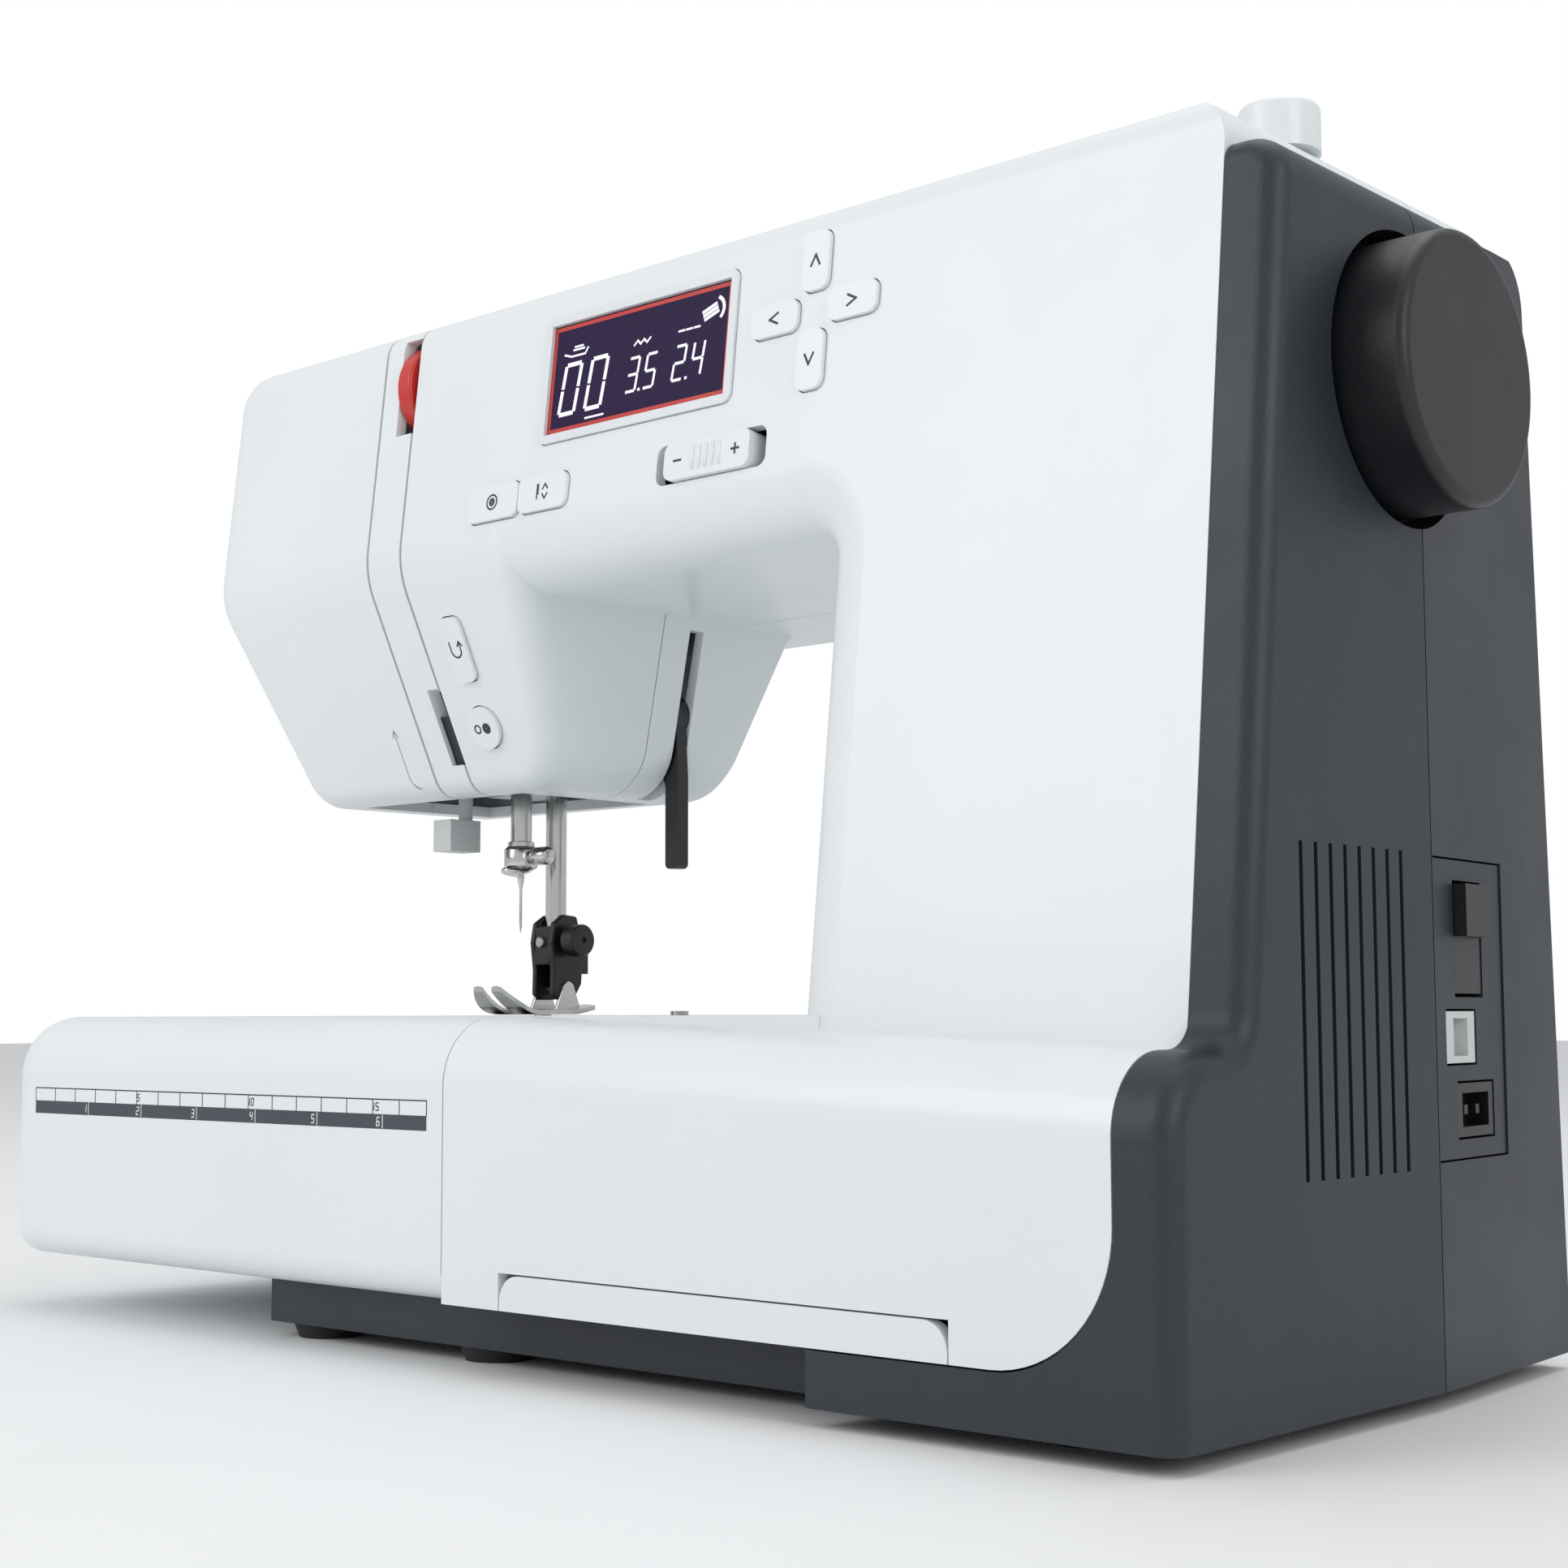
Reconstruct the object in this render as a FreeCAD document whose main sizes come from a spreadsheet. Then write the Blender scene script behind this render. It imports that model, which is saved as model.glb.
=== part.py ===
"""A computerised household sewing machine with a slide-on table, as separate pieces.

Millimetres. +X runs along the arm towards the handwheel, +Y to the back, +Z up.
The origin is on the table top under the machine, in the middle of its width and depth.
"""
import FreeCAD, Part
import math
import os
import Sketcher

Vector = FreeCAD.Vector
Rotation = FreeCAD.Rotation
document = FreeCAD.newDocument("sewing_machine")
sheet = document.addObject("Spreadsheet::Sheet", "sizes")
pieces = {}


class Term:
    """A length that carries its value and the expression that gives it."""

    def __init__(self, value, text):
        self.value = value
        self.text = text

    def __add__(self, other):
        other = term(other)
        return Term(self.value + other.value, f"({self.text} + {other.text})")

    def __sub__(self, other):
        other = term(other)
        return Term(self.value - other.value, f"({self.text} - {other.text})")

    def __mul__(self, other):
        other = term(other)
        return Term(self.value * other.value, f"({self.text} * {other.text})")

    def __truediv__(self, other):
        other = term(other)
        return Term(self.value / other.value, f"({self.text} / {other.text})")

    def __radd__(self, other):
        return term(other) + self

    def __rsub__(self, other):
        return term(other) - self

    def __rmul__(self, other):
        return term(other) * self

    def __neg__(self):
        return term(0) - self


def term(number):
    """A plain number as a Term, so that both can stand in one sum."""
    return number if isinstance(number, Term) else Term(float(number), f"({float(number)})")


def size(alias, value):
    """Write one driving size into the sheet and return it as a Term."""
    size.row += 1
    sheet.set(f"A{size.row}", alias)
    sheet.set(f"B{size.row}", str(value))
    sheet.setAlias(f"B{size.row}", alias)
    return Term(float(value), f"sizes.{alias}")


size.row = 0


def bind(thing, path, length):
    """Bind one property of an object to the sheet."""
    thing.setExpression(path, term(length).text)


# ---------------------------------------------------------------- driving sizes
# the outside
overall_width = size("overall_width", 412)
overall_depth = size("overall_depth", 188)
body_top = size("body_top", 270)
wall = size("wall", 3)
joint_gap = size("joint_gap", 0.4)
foot_height = size("foot_height", 3.7)
skirt_bottom = size("skirt_bottom", 15.5)
bed_top = size("bed_top", 81.5)
ledge_drop = size("ledge_drop", 6.5)
ledge_depth = size("ledge_depth", 26.5)
bed_round = size("bed_round", 16)
face_slope = size("face_slope", 0.111)
rear_set = size("rear_set", 12)
rear_slope = size("rear_slope", 0.0443)
# the arm, the column and the head
column_width = size("column_width", 105.2)
arm_under = size("arm_under", 191)
head_setback = size("head_setback", 43.5)
head_width = size("head_width", 128.5)
head_bottom = size("head_bottom", 142)
head_taper = size("head_taper", 14)
head_bend = size("head_bend", 201)
chin_slope = size("chin_slope", 0.469)
arm_round = size("arm_round", 16)
edge_round = size("edge_round", 8)
# the dark side cover and the handwheel
wheel_stand = size("wheel_stand", 15)
side_thick = size("side_thick", 13)
side_top_drop = size("side_top_drop", 12)
wheel_radius = size("wheel_radius", 29.4)
recess_radius = size("recess_radius", 31.9)
shaft_height = size("shaft_height", 215.7)
shaft_back = size("shaft_back", 1.8)
shaft_radius = size("shaft_radius", 5)
run_gap = size("run_gap", 0.05)
# the slide-on table and the free arm
seam_place = size("seam_place", 198)
arm_half = size("arm_half", 42)
arm_centre = size("arm_centre", 4)
free_arm_reach = size("free_arm_reach", 157)
free_arm_bottom = size("free_arm_bottom", 30)
# the thread channel in the head
channel_width = size("channel_width", 14)
channel_gap = size("channel_gap", 0.9)

left = -overall_width / 2
right = overall_width / 2
front = -overall_depth / 2
back = overall_depth / 2
side_face = right - wheel_stand
column_right = side_face - side_thick
column_left = column_right - column_width
head_left = left + head_setback
head_right = head_left + head_width
seam = left + seam_place
arm_front = arm_centre - arm_half
arm_back = arm_centre + arm_half
free_arm_left = seam - free_arm_reach


def face_y(height):
    """Where the leaning front face of the column and arm is, at a height."""
    return front + ledge_depth + (height - bed_top) * face_slope


def chin_y(height):
    """Where the head's lower front face is, at a height: it leans back downwards."""
    return face_y(head_bend) + (head_bend - height) * chin_slope


def rear_y(height):
    """Where the leaning rear face is, at a height."""
    return back - rear_set - (height - skirt_bottom) * rear_slope


# ---------------------------------------------------------------- shared makers
def settle(thing):
    """Work one object out now, so that the closing recompute needn't do it again."""
    thing.recompute()
    thing.purgeTouched()


def place(thing, x, y, z, rotation=None):
    """Put an object's own origin at a place bound to the sheet."""
    if rotation is not None:
        thing.Placement = FreeCAD.Placement(Vector(0, 0, 0), rotation)
    for letter, length in zip("xyz", (x, y, z)):
        bind(thing, f"Placement.Base.{letter}", length)
    settle(thing)
    return thing


def box(name, x0, x1, y0, y1, z0, z1):
    """A box between two corners."""
    block = document.addObject("Part::Box", name)
    for path, length in (("Length", x1 - term(x0)), ("Width", y1 - term(y0)), ("Height", z1 - term(z0))):
        bind(block, path, length)
    return place(block, x0, y0, z0)


TURNS = {"x": Rotation(Vector(0, 1, 0), 90), "y": Rotation(Vector(1, 0, 0), -90), "z": Rotation()}


def rod(name, axis, radius, length, x, y, z):
    """A cylinder from a point along +axis."""
    bar = document.addObject("Part::Cylinder", name)
    bind(bar, "Radius", radius)
    bind(bar, "Height", length)
    return place(bar, x, y, z, TURNS[axis])


def cone(name, axis, radius_start, radius_end, length, x, y, z):
    """A cone from a point along +axis."""
    taper = document.addObject("Part::Cone", name)
    bind(taper, "Radius1", radius_start)
    bind(taper, "Radius2", radius_end)
    bind(taper, "Height", length)
    return place(taper, x, y, z, TURNS[axis])


def cut(name, base, *tools):
    """The base with each tool cut away."""
    for number, tool in enumerate(tools):
        result = document.addObject("Part::Cut", f"{name}_cut{number}")
        result.Base = base
        result.Tool = tool
        result.Refine = False
        settle(result)
        base = result
    return base


def fuse(name, *parts):
    """Several touching solids as one."""
    result = document.addObject("Part::MultiFuse", f"{name}_fuse")
    result.Shapes = list(parts)
    result.Refine = False
    settle(result)
    return result


def common(name, *parts):
    """What several solids share."""
    result = document.addObject("Part::MultiCommon", f"{name}_common")
    result.Shapes = list(parts)
    result.Refine = False
    settle(result)
    return result


def group(name, *parts):
    """Separate solids kept together as one node."""
    result = document.addObject("Part::Compound", f"{name}_group")
    result.Links = list(parts)
    settle(result)
    return result


def rounded(name, base, radius, test):
    """A fillet on each edge that the test picks, by the edge's middle and its direction."""
    result = document.addObject("Part::Fillet", f"{name}_round")
    result.Base = base
    picks = []
    for number, edge in enumerate(base.Shape.Edges, start=1):
        middle = edge.valueAt((edge.FirstParameter + edge.LastParameter) / 2)
        along = edge.tangentAt((edge.FirstParameter + edge.LastParameter) / 2)
        if test(middle, along):
            picks.append((number, term(radius).value, term(radius).value))
    result.Edges = picks
    settle(result)
    return result


def upright(axis):
    """An edge test: the edge runs along one axis."""
    direction = {"x": Vector(1, 0, 0), "y": Vector(0, 1, 0), "z": Vector(0, 0, 1)}[axis]
    return lambda middle, along: abs(along.dot(direction)) > 0.99


PLANES = {"XY": "XY_Plane", "XZ": "XZ_Plane", "YZ": "YZ_Plane"}


def new_sketch(name, plane):
    """A body with one empty sketch on one of its origin planes."""
    body = document.addObject("PartDesign::Body", name)
    sketch = body.newObject("Sketcher::SketchObject", f"{name}_sketch")
    support = [item for item in body.Origin.OriginFeatures if item.Role == PLANES[plane]][0]
    sketch.AttachmentSupport = [(support, "")]
    sketch.MapMode = "FlatFace"
    return body, sketch


def draw_outline(sketch, corners):
    """Draw a closed outline: corners are (u, v) or (u, v, radius), all bound to the sheet.

    Each corner is a fixed construction point, the straight sides pass through two of them, and
    a rounded corner is an arc tangent to both of its sides.
    """
    count = len(corners)
    spots = [Vector(term(corner[0]).value, term(corner[1]).value, 0) for corner in corners]
    radii = [term(corner[2]) if len(corner) > 2 else None for corner in corners]
    starts, ends, arcs = [], [], []
    for index, spot in enumerate(spots):
        before = (spots[index - 1] - spot).normalize()
        after = (spots[(index + 1) % count] - spot).normalize()
        if radii[index] is None:
            starts.append(spot)
            ends.append(spot)
            arcs.append(None)
            continue
        half = math.acos(max(-1, min(1, before.dot(after)))) / 2
        reach = radii[index].value / math.tan(half)
        arcs.append((spot + (before + after).normalize() * (radii[index].value / math.sin(half)), reach))
        ends.append(spot + before * reach)
        starts.append(spot + after * reach)
    lines = [sketch.addGeometry(Part.LineSegment(starts[index], ends[(index + 1) % count]))
             for index in range(count)]
    for index, corner in enumerate(corners):
        line_in, line_out = lines[index - 1], lines[index]
        if arcs[index] is None:
            sketch.addConstraint(Sketcher.Constraint("Coincident", line_in, 2, line_out, 1))
            point, which = line_out, 1
        else:
            centre = arcs[index][0]
            middle = centre + (spots[index] - centre).normalize() * radii[index].value
            arc = sketch.addGeometry(Part.Arc(ends[index], middle, starts[index]))
            near = sketch.getPoint(arc, 1)
            first, last = (1, 2) if (near - ends[index]).Length < 1e-6 else (2, 1)
            sketch.addConstraint(Sketcher.Constraint("Tangent", line_in, 2, arc, first))
            sketch.addConstraint(Sketcher.Constraint("Tangent", arc, last, line_out, 1))
            number = sketch.addConstraint(Sketcher.Constraint("Radius", arc, radii[index].value))
            sketch.setExpression(f"Constraints[{number}]", radii[index].text)
            point, which = sketch.addGeometry(Part.Point(spots[index]), True), 1
            sketch.addConstraint(Sketcher.Constraint("PointOnObject", point, 1, line_in))
            sketch.addConstraint(Sketcher.Constraint("PointOnObject", point, 1, line_out))
        for kind, length in (("DistanceX", corner[0]), ("DistanceY", corner[1])):
            length = term(length)
            number = sketch.addConstraint(Sketcher.Constraint(kind, -1, 1, point, which, length.value))
            sketch.setExpression(f"Constraints[{number}]", length.text)


def outline_pad(name, plane, corners, start, end):
    """Pad a rounded outline between two places along the plane's normal axis.

    XY outlines are (x, y) and run up Z, XZ ones are (x, z) and run along Y, YZ ones are (y, z)
    and run along X.
    """
    body, sketch = new_sketch(name, plane)
    draw_outline(sketch, corners)
    start, end = term(start), term(end)
    if plane == "XZ":
        bind(sketch, "AttachmentOffset.Base.z", -end)
    else:
        bind(sketch, "AttachmentOffset.Base.z", start)
    pad = body.newObject("PartDesign::Pad", f"{name}_pad")
    pad.Profile = sketch
    bind(pad, "Length", end - start)
    body.recompute(True)
    return body


def tilted_box(name, x0, x1, z0, z1, face, slope, sign, depth0, depth1):
    """A box let into a leaning front face, between two depths measured square to the face.

    Heights are world heights on the face; sign is +1 where the face leans back upwards and -1
    where it leans back downwards.
    """
    angle = math.degrees(math.atan(slope.value))
    stretch = math.sqrt(1 + slope.value ** 2)
    block = document.addObject("Part::Box", name)
    bind(block, "Length", x1 - term(x0))
    bind(block, "Width", depth1 - term(depth0))
    bind(block, "Height", (z1 - term(z0)) * stretch)
    turn = Rotation(Vector(1, 0, 0), -sign * angle)
    return place(block, x0, face(z0) + term(depth0) / stretch,
                 term(z0) - sign * (term(depth0) * slope / stretch), turn)


def face_box(name, x0, x1, z0, z1, depth0, depth1):
    """A box in the arm's leaning front face."""
    return tilted_box(name, x0, x1, z0, z1, face_y, face_slope, 1, depth0, depth1)


def chin_box(name, x0, x1, z0, z1, depth0, depth1):
    """A box in the head's lower front face."""
    return tilted_box(name, x0, x1, z0, z1, chin_y, chin_slope, -1, depth0, depth1)


def corner_edges(thing):
    """An edge test: the edge runs square to a leaning box's face."""
    normal = thing.Placement.Rotation.multVec(Vector(0, 1, 0))
    return lambda middle, along: abs(along.dot(normal)) > 0.99


def finish(node, thing):
    """Name a finished sub-part."""
    thing.Label = node
    pieces[node] = thing
    return thing


# ---------------------------------------------------------------- sizes of the covers
bend_round = size("bend_round", 25)
top_corner = size("top_corner", 12)
inner_corner = size("inner_corner", 8)
chin_corner = size("chin_corner", 16)
rear_round = size("rear_round", 12)
skirt_corner = size("skirt_corner", 28)
head_lean = size("head_lean", 10)
nape_y = size("nape_y", 36)
cover_seam = size("cover_seam", 34)
head_seam = size("head_seam", 5)
side_seam = size("side_seam", 7)
rear_turn = size("rear_turn", 0.0928)
base_left = left + size("base_setback", 114)
base_front = front + size("base_step", 14)
base_back = back - size("base_back_set", 18)
side_foot_left = left + size("side_foot_place", 310)
ledge = bed_top - ledge_drop
side_top = body_top - side_top_drop
lower_edge = skirt_bottom - joint_gap
panel_left = seam + size("panel_offset", 20)
panel_width = size("panel_width", 128)
panel_tall = size("panel_tall", 8)
# the needle, the hook and the shafts
needle_x = head_left + size("needle_offset", 73.5)
needle_y = shaft_back
presser_y = needle_y + size("bar_spacing", 13.6)
bar_radius = size("bar_radius", 3)
stroke = size("stroke", 31)
needle_tip = size("needle_tip", 105)
hook_radius = size("hook_radius", 17)
hook_y = needle_y - hook_radius - 1
lower_shaft_z = size("lower_shaft_z", 47)
lower_shaft_radius = size("lower_shaft_radius", 4)
hook_gear_radius = size("hook_gear_radius", 6.7)
shaft_gear_radius = hook_radius + 1 - hook_gear_radius - joint_gap
bobbin_radius = size("bobbin_radius", 10.2)
bobbin_height = size("bobbin_height", 11)
plate_thick = size("plate_thick", 1.5)
plate_half = size("plate_half", 35)
slide_half = size("slide_half", 21)
frame_front = size("frame_front", 32)
frame_thick = size("frame_thick", 9)
pulley_radius = size("pulley_radius", 12)
belt_thick = size("belt_thick", 1.6)
motor_radius = size("motor_radius", 24)
motor_y = size("motor_y", -42)
motor_z = size("motor_z", 52)
motor_length = size("motor_length", 60)
# keys, display and slider
key_proud = size("key_proud", 1.2)
key_depth = size("key_depth", 6)
key_gap = size("key_gap", 0.3)
key_corner = size("key_corner", 2.6)
key_long = size("key_long", 14.6)
key_wide = size("key_wide", 8)
pad_x = column_left - size("pad_offset", 3.9)
pad_z = size("pad_z", 244)
pad_reach = size("pad_reach", 12)
pair_left = head_right - size("pair_offset", 14.5)
pair_width = size("pair_width", 37.5)
pair_split = size("pair_split", 19.5)
pair_low = size("pair_low", 209)
pair_tall = size("pair_tall", 9.4)
slider_left = column_left - size("slider_offset", 52.5)
slider_width = size("slider_width", 36)
slider_tall = size("slider_tall", 10)
slider_knob = size("slider_knob", 28)
display_left = column_left - size("display_offset", 96.5)
display_width = size("display_width", 67.5)
display_low = size("display_low", 226.5)
display_tall = size("display_tall", 33.5)
display_rim = size("display_rim", 2.2)
start_x = needle_x + size("start_offset", 26)
start_z = size("start_z", 158.8)
start_radius = size("start_radius", 6)
reverse_z = size("reverse_z", 179)
reverse_tall = size("reverse_tall", 16.5)
# thread channel, dial, lifter, handle and winder
channel_a = needle_x - size("channel_offset", 1.4)
channel_b = channel_a + channel_width
dial_x = channel_b - size("dial_wide", 6.5)
dial_z = size("dial_z", 252.5)
dial_radius = size("dial_radius", 13.5)
dial_sink = size("dial_sink", 11.8)
lifter_x = head_right - size("lifter_inset", 12)
lifter_y = size("lifter_y", 18)
lifter_z = size("lifter_z", 165)
lifter_reach = size("lifter_reach", 43)
pin_radius = size("pin_radius", 3)
handle_left = size("handle_left", -52)
handle_right = size("handle_right", 112)
handle_bar = size("handle_bar", 10)
handle_thick = size("handle_thick", 11)
handle_pivot_y = size("handle_pivot_y", 41)
handle_reach = size("handle_reach", 47)
handle_z = body_top + size("handle_lift", 6.5)
lug_width = size("lug_width", 7)
winder_x = column_right - size("winder_inset", 48)
winder_y = size("winder_y", -2)
spool_y = size("spool_y", 57)
spool_lift = size("spool_lift", 14)
# the side panel with its sockets
socket_low = size("socket_low", 50.5)
socket_tall = size("socket_tall", 64.2)
socket_wide = size("socket_wide", 39.2)
vent_count = 8
vent_pitch = size("vent_pitch", 5.75)
vent_width = size("vent_width", 1.4)
vent_low = size("vent_low", 49.5)
vent_tall = size("vent_tall", 65.6)
# the table, the foot, the take-up and the belts
side_bead = size("side_bead", 5)
side_corner = size("side_corner", 9)
switch_low = size("switch_low", 85)
jack_low = size("jack_low", 70.5)
inlet_low = size("inlet_low", 54.8)
table_corner = size("table_corner", 20)
rear_corner = size("rear_corner", 36)
arm_corner = size("arm_corner", 14)
slide_back = hook_y + size("slide_reach", 12)
foot_pin = size("foot_pin", 1.2)
sole_thick = size("sole_thick", 2.2)
wheel_web = size("wheel_web", 3)
well_depth = size("well_depth", 10)
foot_pin_z = bed_top + size("foot_pin_height", 8.5)
foot_width = size("foot_width", 19)
foot_front = size("foot_front", 26)
foot_rear = size("foot_rear", 7)
sole_z = bed_top + size("sole_gap", 0.3)
take_up_y = size("take_up_y", -14)
take_up_z = size("take_up_z", 240)
take_up_reach = size("take_up_reach", 24)
timing_x = column_left + size("timing_offset", 30)
belt_wide = size("belt_wide", 8)
belt_slack = size("belt_slack", 0.15)
motor_pulley_radius = size("motor_pulley_radius", 9)


# ---------------------------------------------------------------- white covers
def front_edges(middle, along, bend_height):
    """The edges all round a front face, but not the bend line across it."""
    across = abs(along.x) > 0.99 and abs(middle.z - bend_height) < 12
    return middle.y < -20 and not across and abs(along.y) < 0.9


def arm_form(name, inset):
    """The column and the arm: an outline along Y and the leaning side profile along X."""
    right_end = column_right + (1 if inset else 0)
    plan = outline_pad(f"{name}_plan", "XZ", [
        (head_right - 25, body_top - inset),
        (right_end, body_top - inset, top_corner - inset),
        (right_end, skirt_bottom + 20),
        (column_left + inset, skirt_bottom + 20),
        (column_left + inset, arm_under + inset, inner_corner + inset),
        (head_right - 25, arm_under + inset)], front, back)
    profile = outline_pad(f"{name}_side", "YZ", [
        (face_y(skirt_bottom) + inset, skirt_bottom),
        (face_y(body_top) + inset, body_top - inset, edge_round - inset),
        (rear_y(body_top) - inset, body_top - inset, rear_round - inset),
        (rear_y(skirt_bottom) - inset, skirt_bottom)], left, right)
    form = common(name, plan, profile)
    bottom, inner = (arm_under + inset).value, (column_left + inset).value

    def soft_edge(middle, along):
        under = abs(middle.z - bottom) < 0.5 and abs(along.x) > 0.99
        beside = abs(middle.x - inner) < 0.5 and abs(along.z) > 0.9
        inside = inner - 9 < middle.x < inner + 0.5 and bottom - 9 < middle.z < bottom + 0.5
        return middle.y < 0 and (under or beside or inside)

    return rounded(name, form, arm_round - inset, soft_edge)


def head_form(name, inset):
    """The head: its outline seen from the front and its bent side profile."""
    in_arm = head_right + head_lean * (body_top - arm_under) / (arm_under - head_bottom)
    plan = outline_pad(f"{name}_plan", "XZ", [
        (head_left + inset, body_top - inset, top_corner - inset),
        (in_arm - inset, body_top - inset),
        (head_right - inset - head_lean, head_bottom + inset, chin_corner - inset),
        (head_left + inset + head_taper, head_bottom + inset, top_corner - inset),
        (head_left + inset, head_bend, bend_round - inset)], front, back)
    profile = outline_pad(f"{name}_side", "YZ", [
        (face_y(body_top) + inset, body_top - inset),
        (face_y(head_bend) + inset, head_bend, bend_round - inset),
        (chin_y(head_bottom) + inset * 1.4, head_bottom + inset),
        (nape_y - inset, head_bottom + inset, 5 - inset),
        (nape_y + 20 - inset, arm_under, 10),
        (rear_y(arm_under) - inset, arm_under + 8, 10),
        (rear_y(body_top) - inset, body_top - inset, rear_round - inset)], left, right)
    form = common(name, plan, profile)
    return rounded(name, form, edge_round - inset,
                   lambda middle, along: front_edges(middle, along, head_bend.value))


def bed_form(name, inset):
    """The white bed to the right of the table: its front ledge slopes down to the right."""
    low = skirt_bottom - (2 if inset else 0)
    right_end = column_right + (1 if inset else 0)
    right_corner = (right_end, low) + (() if inset else (skirt_corner,))
    plan = outline_pad(f"{name}_plan", "XZ", [
        (seam + inset, low), right_corner, (right_end, ledge - inset),
        (seam + inset, bed_top - inset)], front + inset, front + ledge_depth + 12)
    face, top = (front + inset).value, (ledge - inset).value
    ledge_part = rounded(name, plan, bed_round - inset,
                         lambda middle, along: abs(middle.y - face) < 0.5 and middle.z > top - 2
                         and abs(along.x) > 0.9)
    back_part = outline_pad(f"{name}_rear", "YZ", [
        (front + ledge_depth + inset, low), (front + ledge_depth + inset, bed_top - inset),
        (rear_y(bed_top) - inset, bed_top - inset),
        (rear_y(skirt_bottom) - inset, low)], seam + inset, column_left + 12)
    under_part = outline_pad(f"{name}_low", "YZ", [
        (front + ledge_depth, low), (front + ledge_depth, ledge - inset),
        (rear_y(ledge) - inset, ledge - inset),
        (rear_y(skirt_bottom) - inset, low)], column_left + inset, right_end)
    return [ledge_part, back_part, under_part]


def make_white_covers():
    """Split the white shell into a front, a rear, a face cover and a thread channel strip."""
    skin = fuse("skin", arm_form("outer_arm", 0), head_form("outer_head", 0), *bed_form("outer_bed", 0))
    hollow = [arm_form("inner_arm", wall), head_form("inner_head", wall), *bed_form("inner_bed", wall)]
    arm_way = box("arm_way", seam - 5, seam + wall + 5, arm_front + wall, arm_back - wall,
                  free_arm_bottom + wall, bed_top - wall)
    end_wall = common("end_wall", arm_form("end_form", 0),
                      box("end_zone", column_right - wall, column_right, front, back, side_top - 2 * wall,
                          body_top))
    shell = fuse("shell", cut("shell_open", skin, *hollow), end_wall)
    step = head_right + 3
    low, high, half = term(0), body_top + 20, joint_gap / 2
    mouth = box("mouth", head_left + 30, head_right - 30, -20, nape_y - 8, head_bottom - 5,
                head_bottom + wall + 1)
    lifter_slot = box("lifter_slot", lifter_x - 10, head_right + 5, lifter_y - 2.7, lifter_y + 2.7,
                      head_bottom - 2, arm_under - 3)
    handle_lugs = [box(f"lug{side}", x, x + lug_width, cover_seam + 1, handle_pivot_y + 5,
                       body_top - wall, handle_z + 5)
                   for side, x in enumerate((handle_left + handle_bar + joint_gap,
                                             handle_right - handle_bar - joint_gap - lug_width))]
    lug_bore = rod("lug_bore", "x", pin_radius + run_gap, handle_right - handle_left, handle_left,
                   handle_pivot_y, handle_z)

    face_zone = box("face_zone", left, channel_a - channel_gap / 2, front, head_seam - half, low, high)
    finish("face_cover", cut("face_cover", common("face_cover", shell, face_zone), mouth))

    strip_zone = box("strip_zone", channel_a + channel_gap / 2, channel_b - channel_gap / 2, front,
                     head_seam - half, low, high)
    dial_slot = box("dial_slot", dial_x - joint_gap, channel_b, front, 0, dial_z - dial_radius,
                    dial_z + dial_radius)
    throat = box("throat", channel_b - 5, channel_b, front, 0, head_bottom + 8, head_bottom + 28)
    finish("channel_cover", cut("channel_cover", common("channel_cover", shell, strip_zone), mouth,
                                dial_slot, throat))

    start, end = channel_b + channel_gap / 2, column_right + 1
    zone = outline_pad("front_zone", "XY", [
        (start, front - 1), (end, front - 1), (end, cover_seam - half), (step, cover_seam - half),
        (step, head_seam - half), (start, head_seam - half)], low, high)
    openings = key_holes()
    winder_slot = box("winder_slot", winder_x - 8, winder_x + 12, winder_y - 4.5, winder_y + 4.5,
                      body_top - 10, high)
    panel_hole = box("panel_hole", panel_left - joint_gap, panel_left + panel_width + joint_gap,
                     front - 1, front + wall + 1, low, skirt_bottom + panel_tall + joint_gap)
    finish("front_cover", cut("front_cover", common("front_cover", shell, zone), mouth, winder_slot,
                              panel_hole, arm_way, *openings))

    rear_head = box("rear_head", left, step, head_seam + half, back, low, high)
    rear_arm = box("rear_arm", step, column_right + 1, cover_seam + half, back, low, high)
    rear = common("rear_cover", shell, fuse("rear_zone", rear_head, rear_arm))
    rear = fuse("rear_cover", cut("rear_cover", rear, mouth, lifter_slot, arm_way), *handle_lugs)
    finish("rear_cover", cut("rear_cover_bored", rear, lug_bore))
    panel = box("panel", panel_left, panel_left + panel_width, front, front + wall, skirt_bottom,
                skirt_bottom + panel_tall)
    top = (skirt_bottom + panel_tall).value
    finish("lower_front_panel", rounded("panel", panel, 6, lambda middle, along:
           abs(along.y) > 0.99 and middle.z > top - 1))


# ---------------------------------------------------------------- keys, display and slider
def side_by_side(x, z, wide, tall):
    """The four edges of a key centred at a place: left, right, bottom, top."""
    return x - wide / 2, x + wide / 2, z - tall / 2, z + tall / 2


KEYS = {
    "arrow_up_button": (face_box, *side_by_side(pad_x, pad_z + pad_reach, key_wide, key_long)),
    "arrow_down_button": (face_box, *side_by_side(pad_x, pad_z - pad_reach, key_wide, key_long)),
    "arrow_left_button": (face_box, *side_by_side(pad_x - pad_reach, pad_z, key_long, key_wide)),
    "arrow_right_button": (face_box, *side_by_side(pad_x + pad_reach, pad_z, key_long, key_wide)),
    "thread_cut_button": (face_box, pair_left, pair_left + pair_split, pair_low, pair_low + pair_tall),
    "needle_button": (face_box, pair_left + pair_split + key_gap, pair_left + pair_width, pair_low,
                      pair_low + pair_tall),
    "reverse_button": (chin_box, *side_by_side(start_x, reverse_z, key_wide, reverse_tall)),
}


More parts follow.
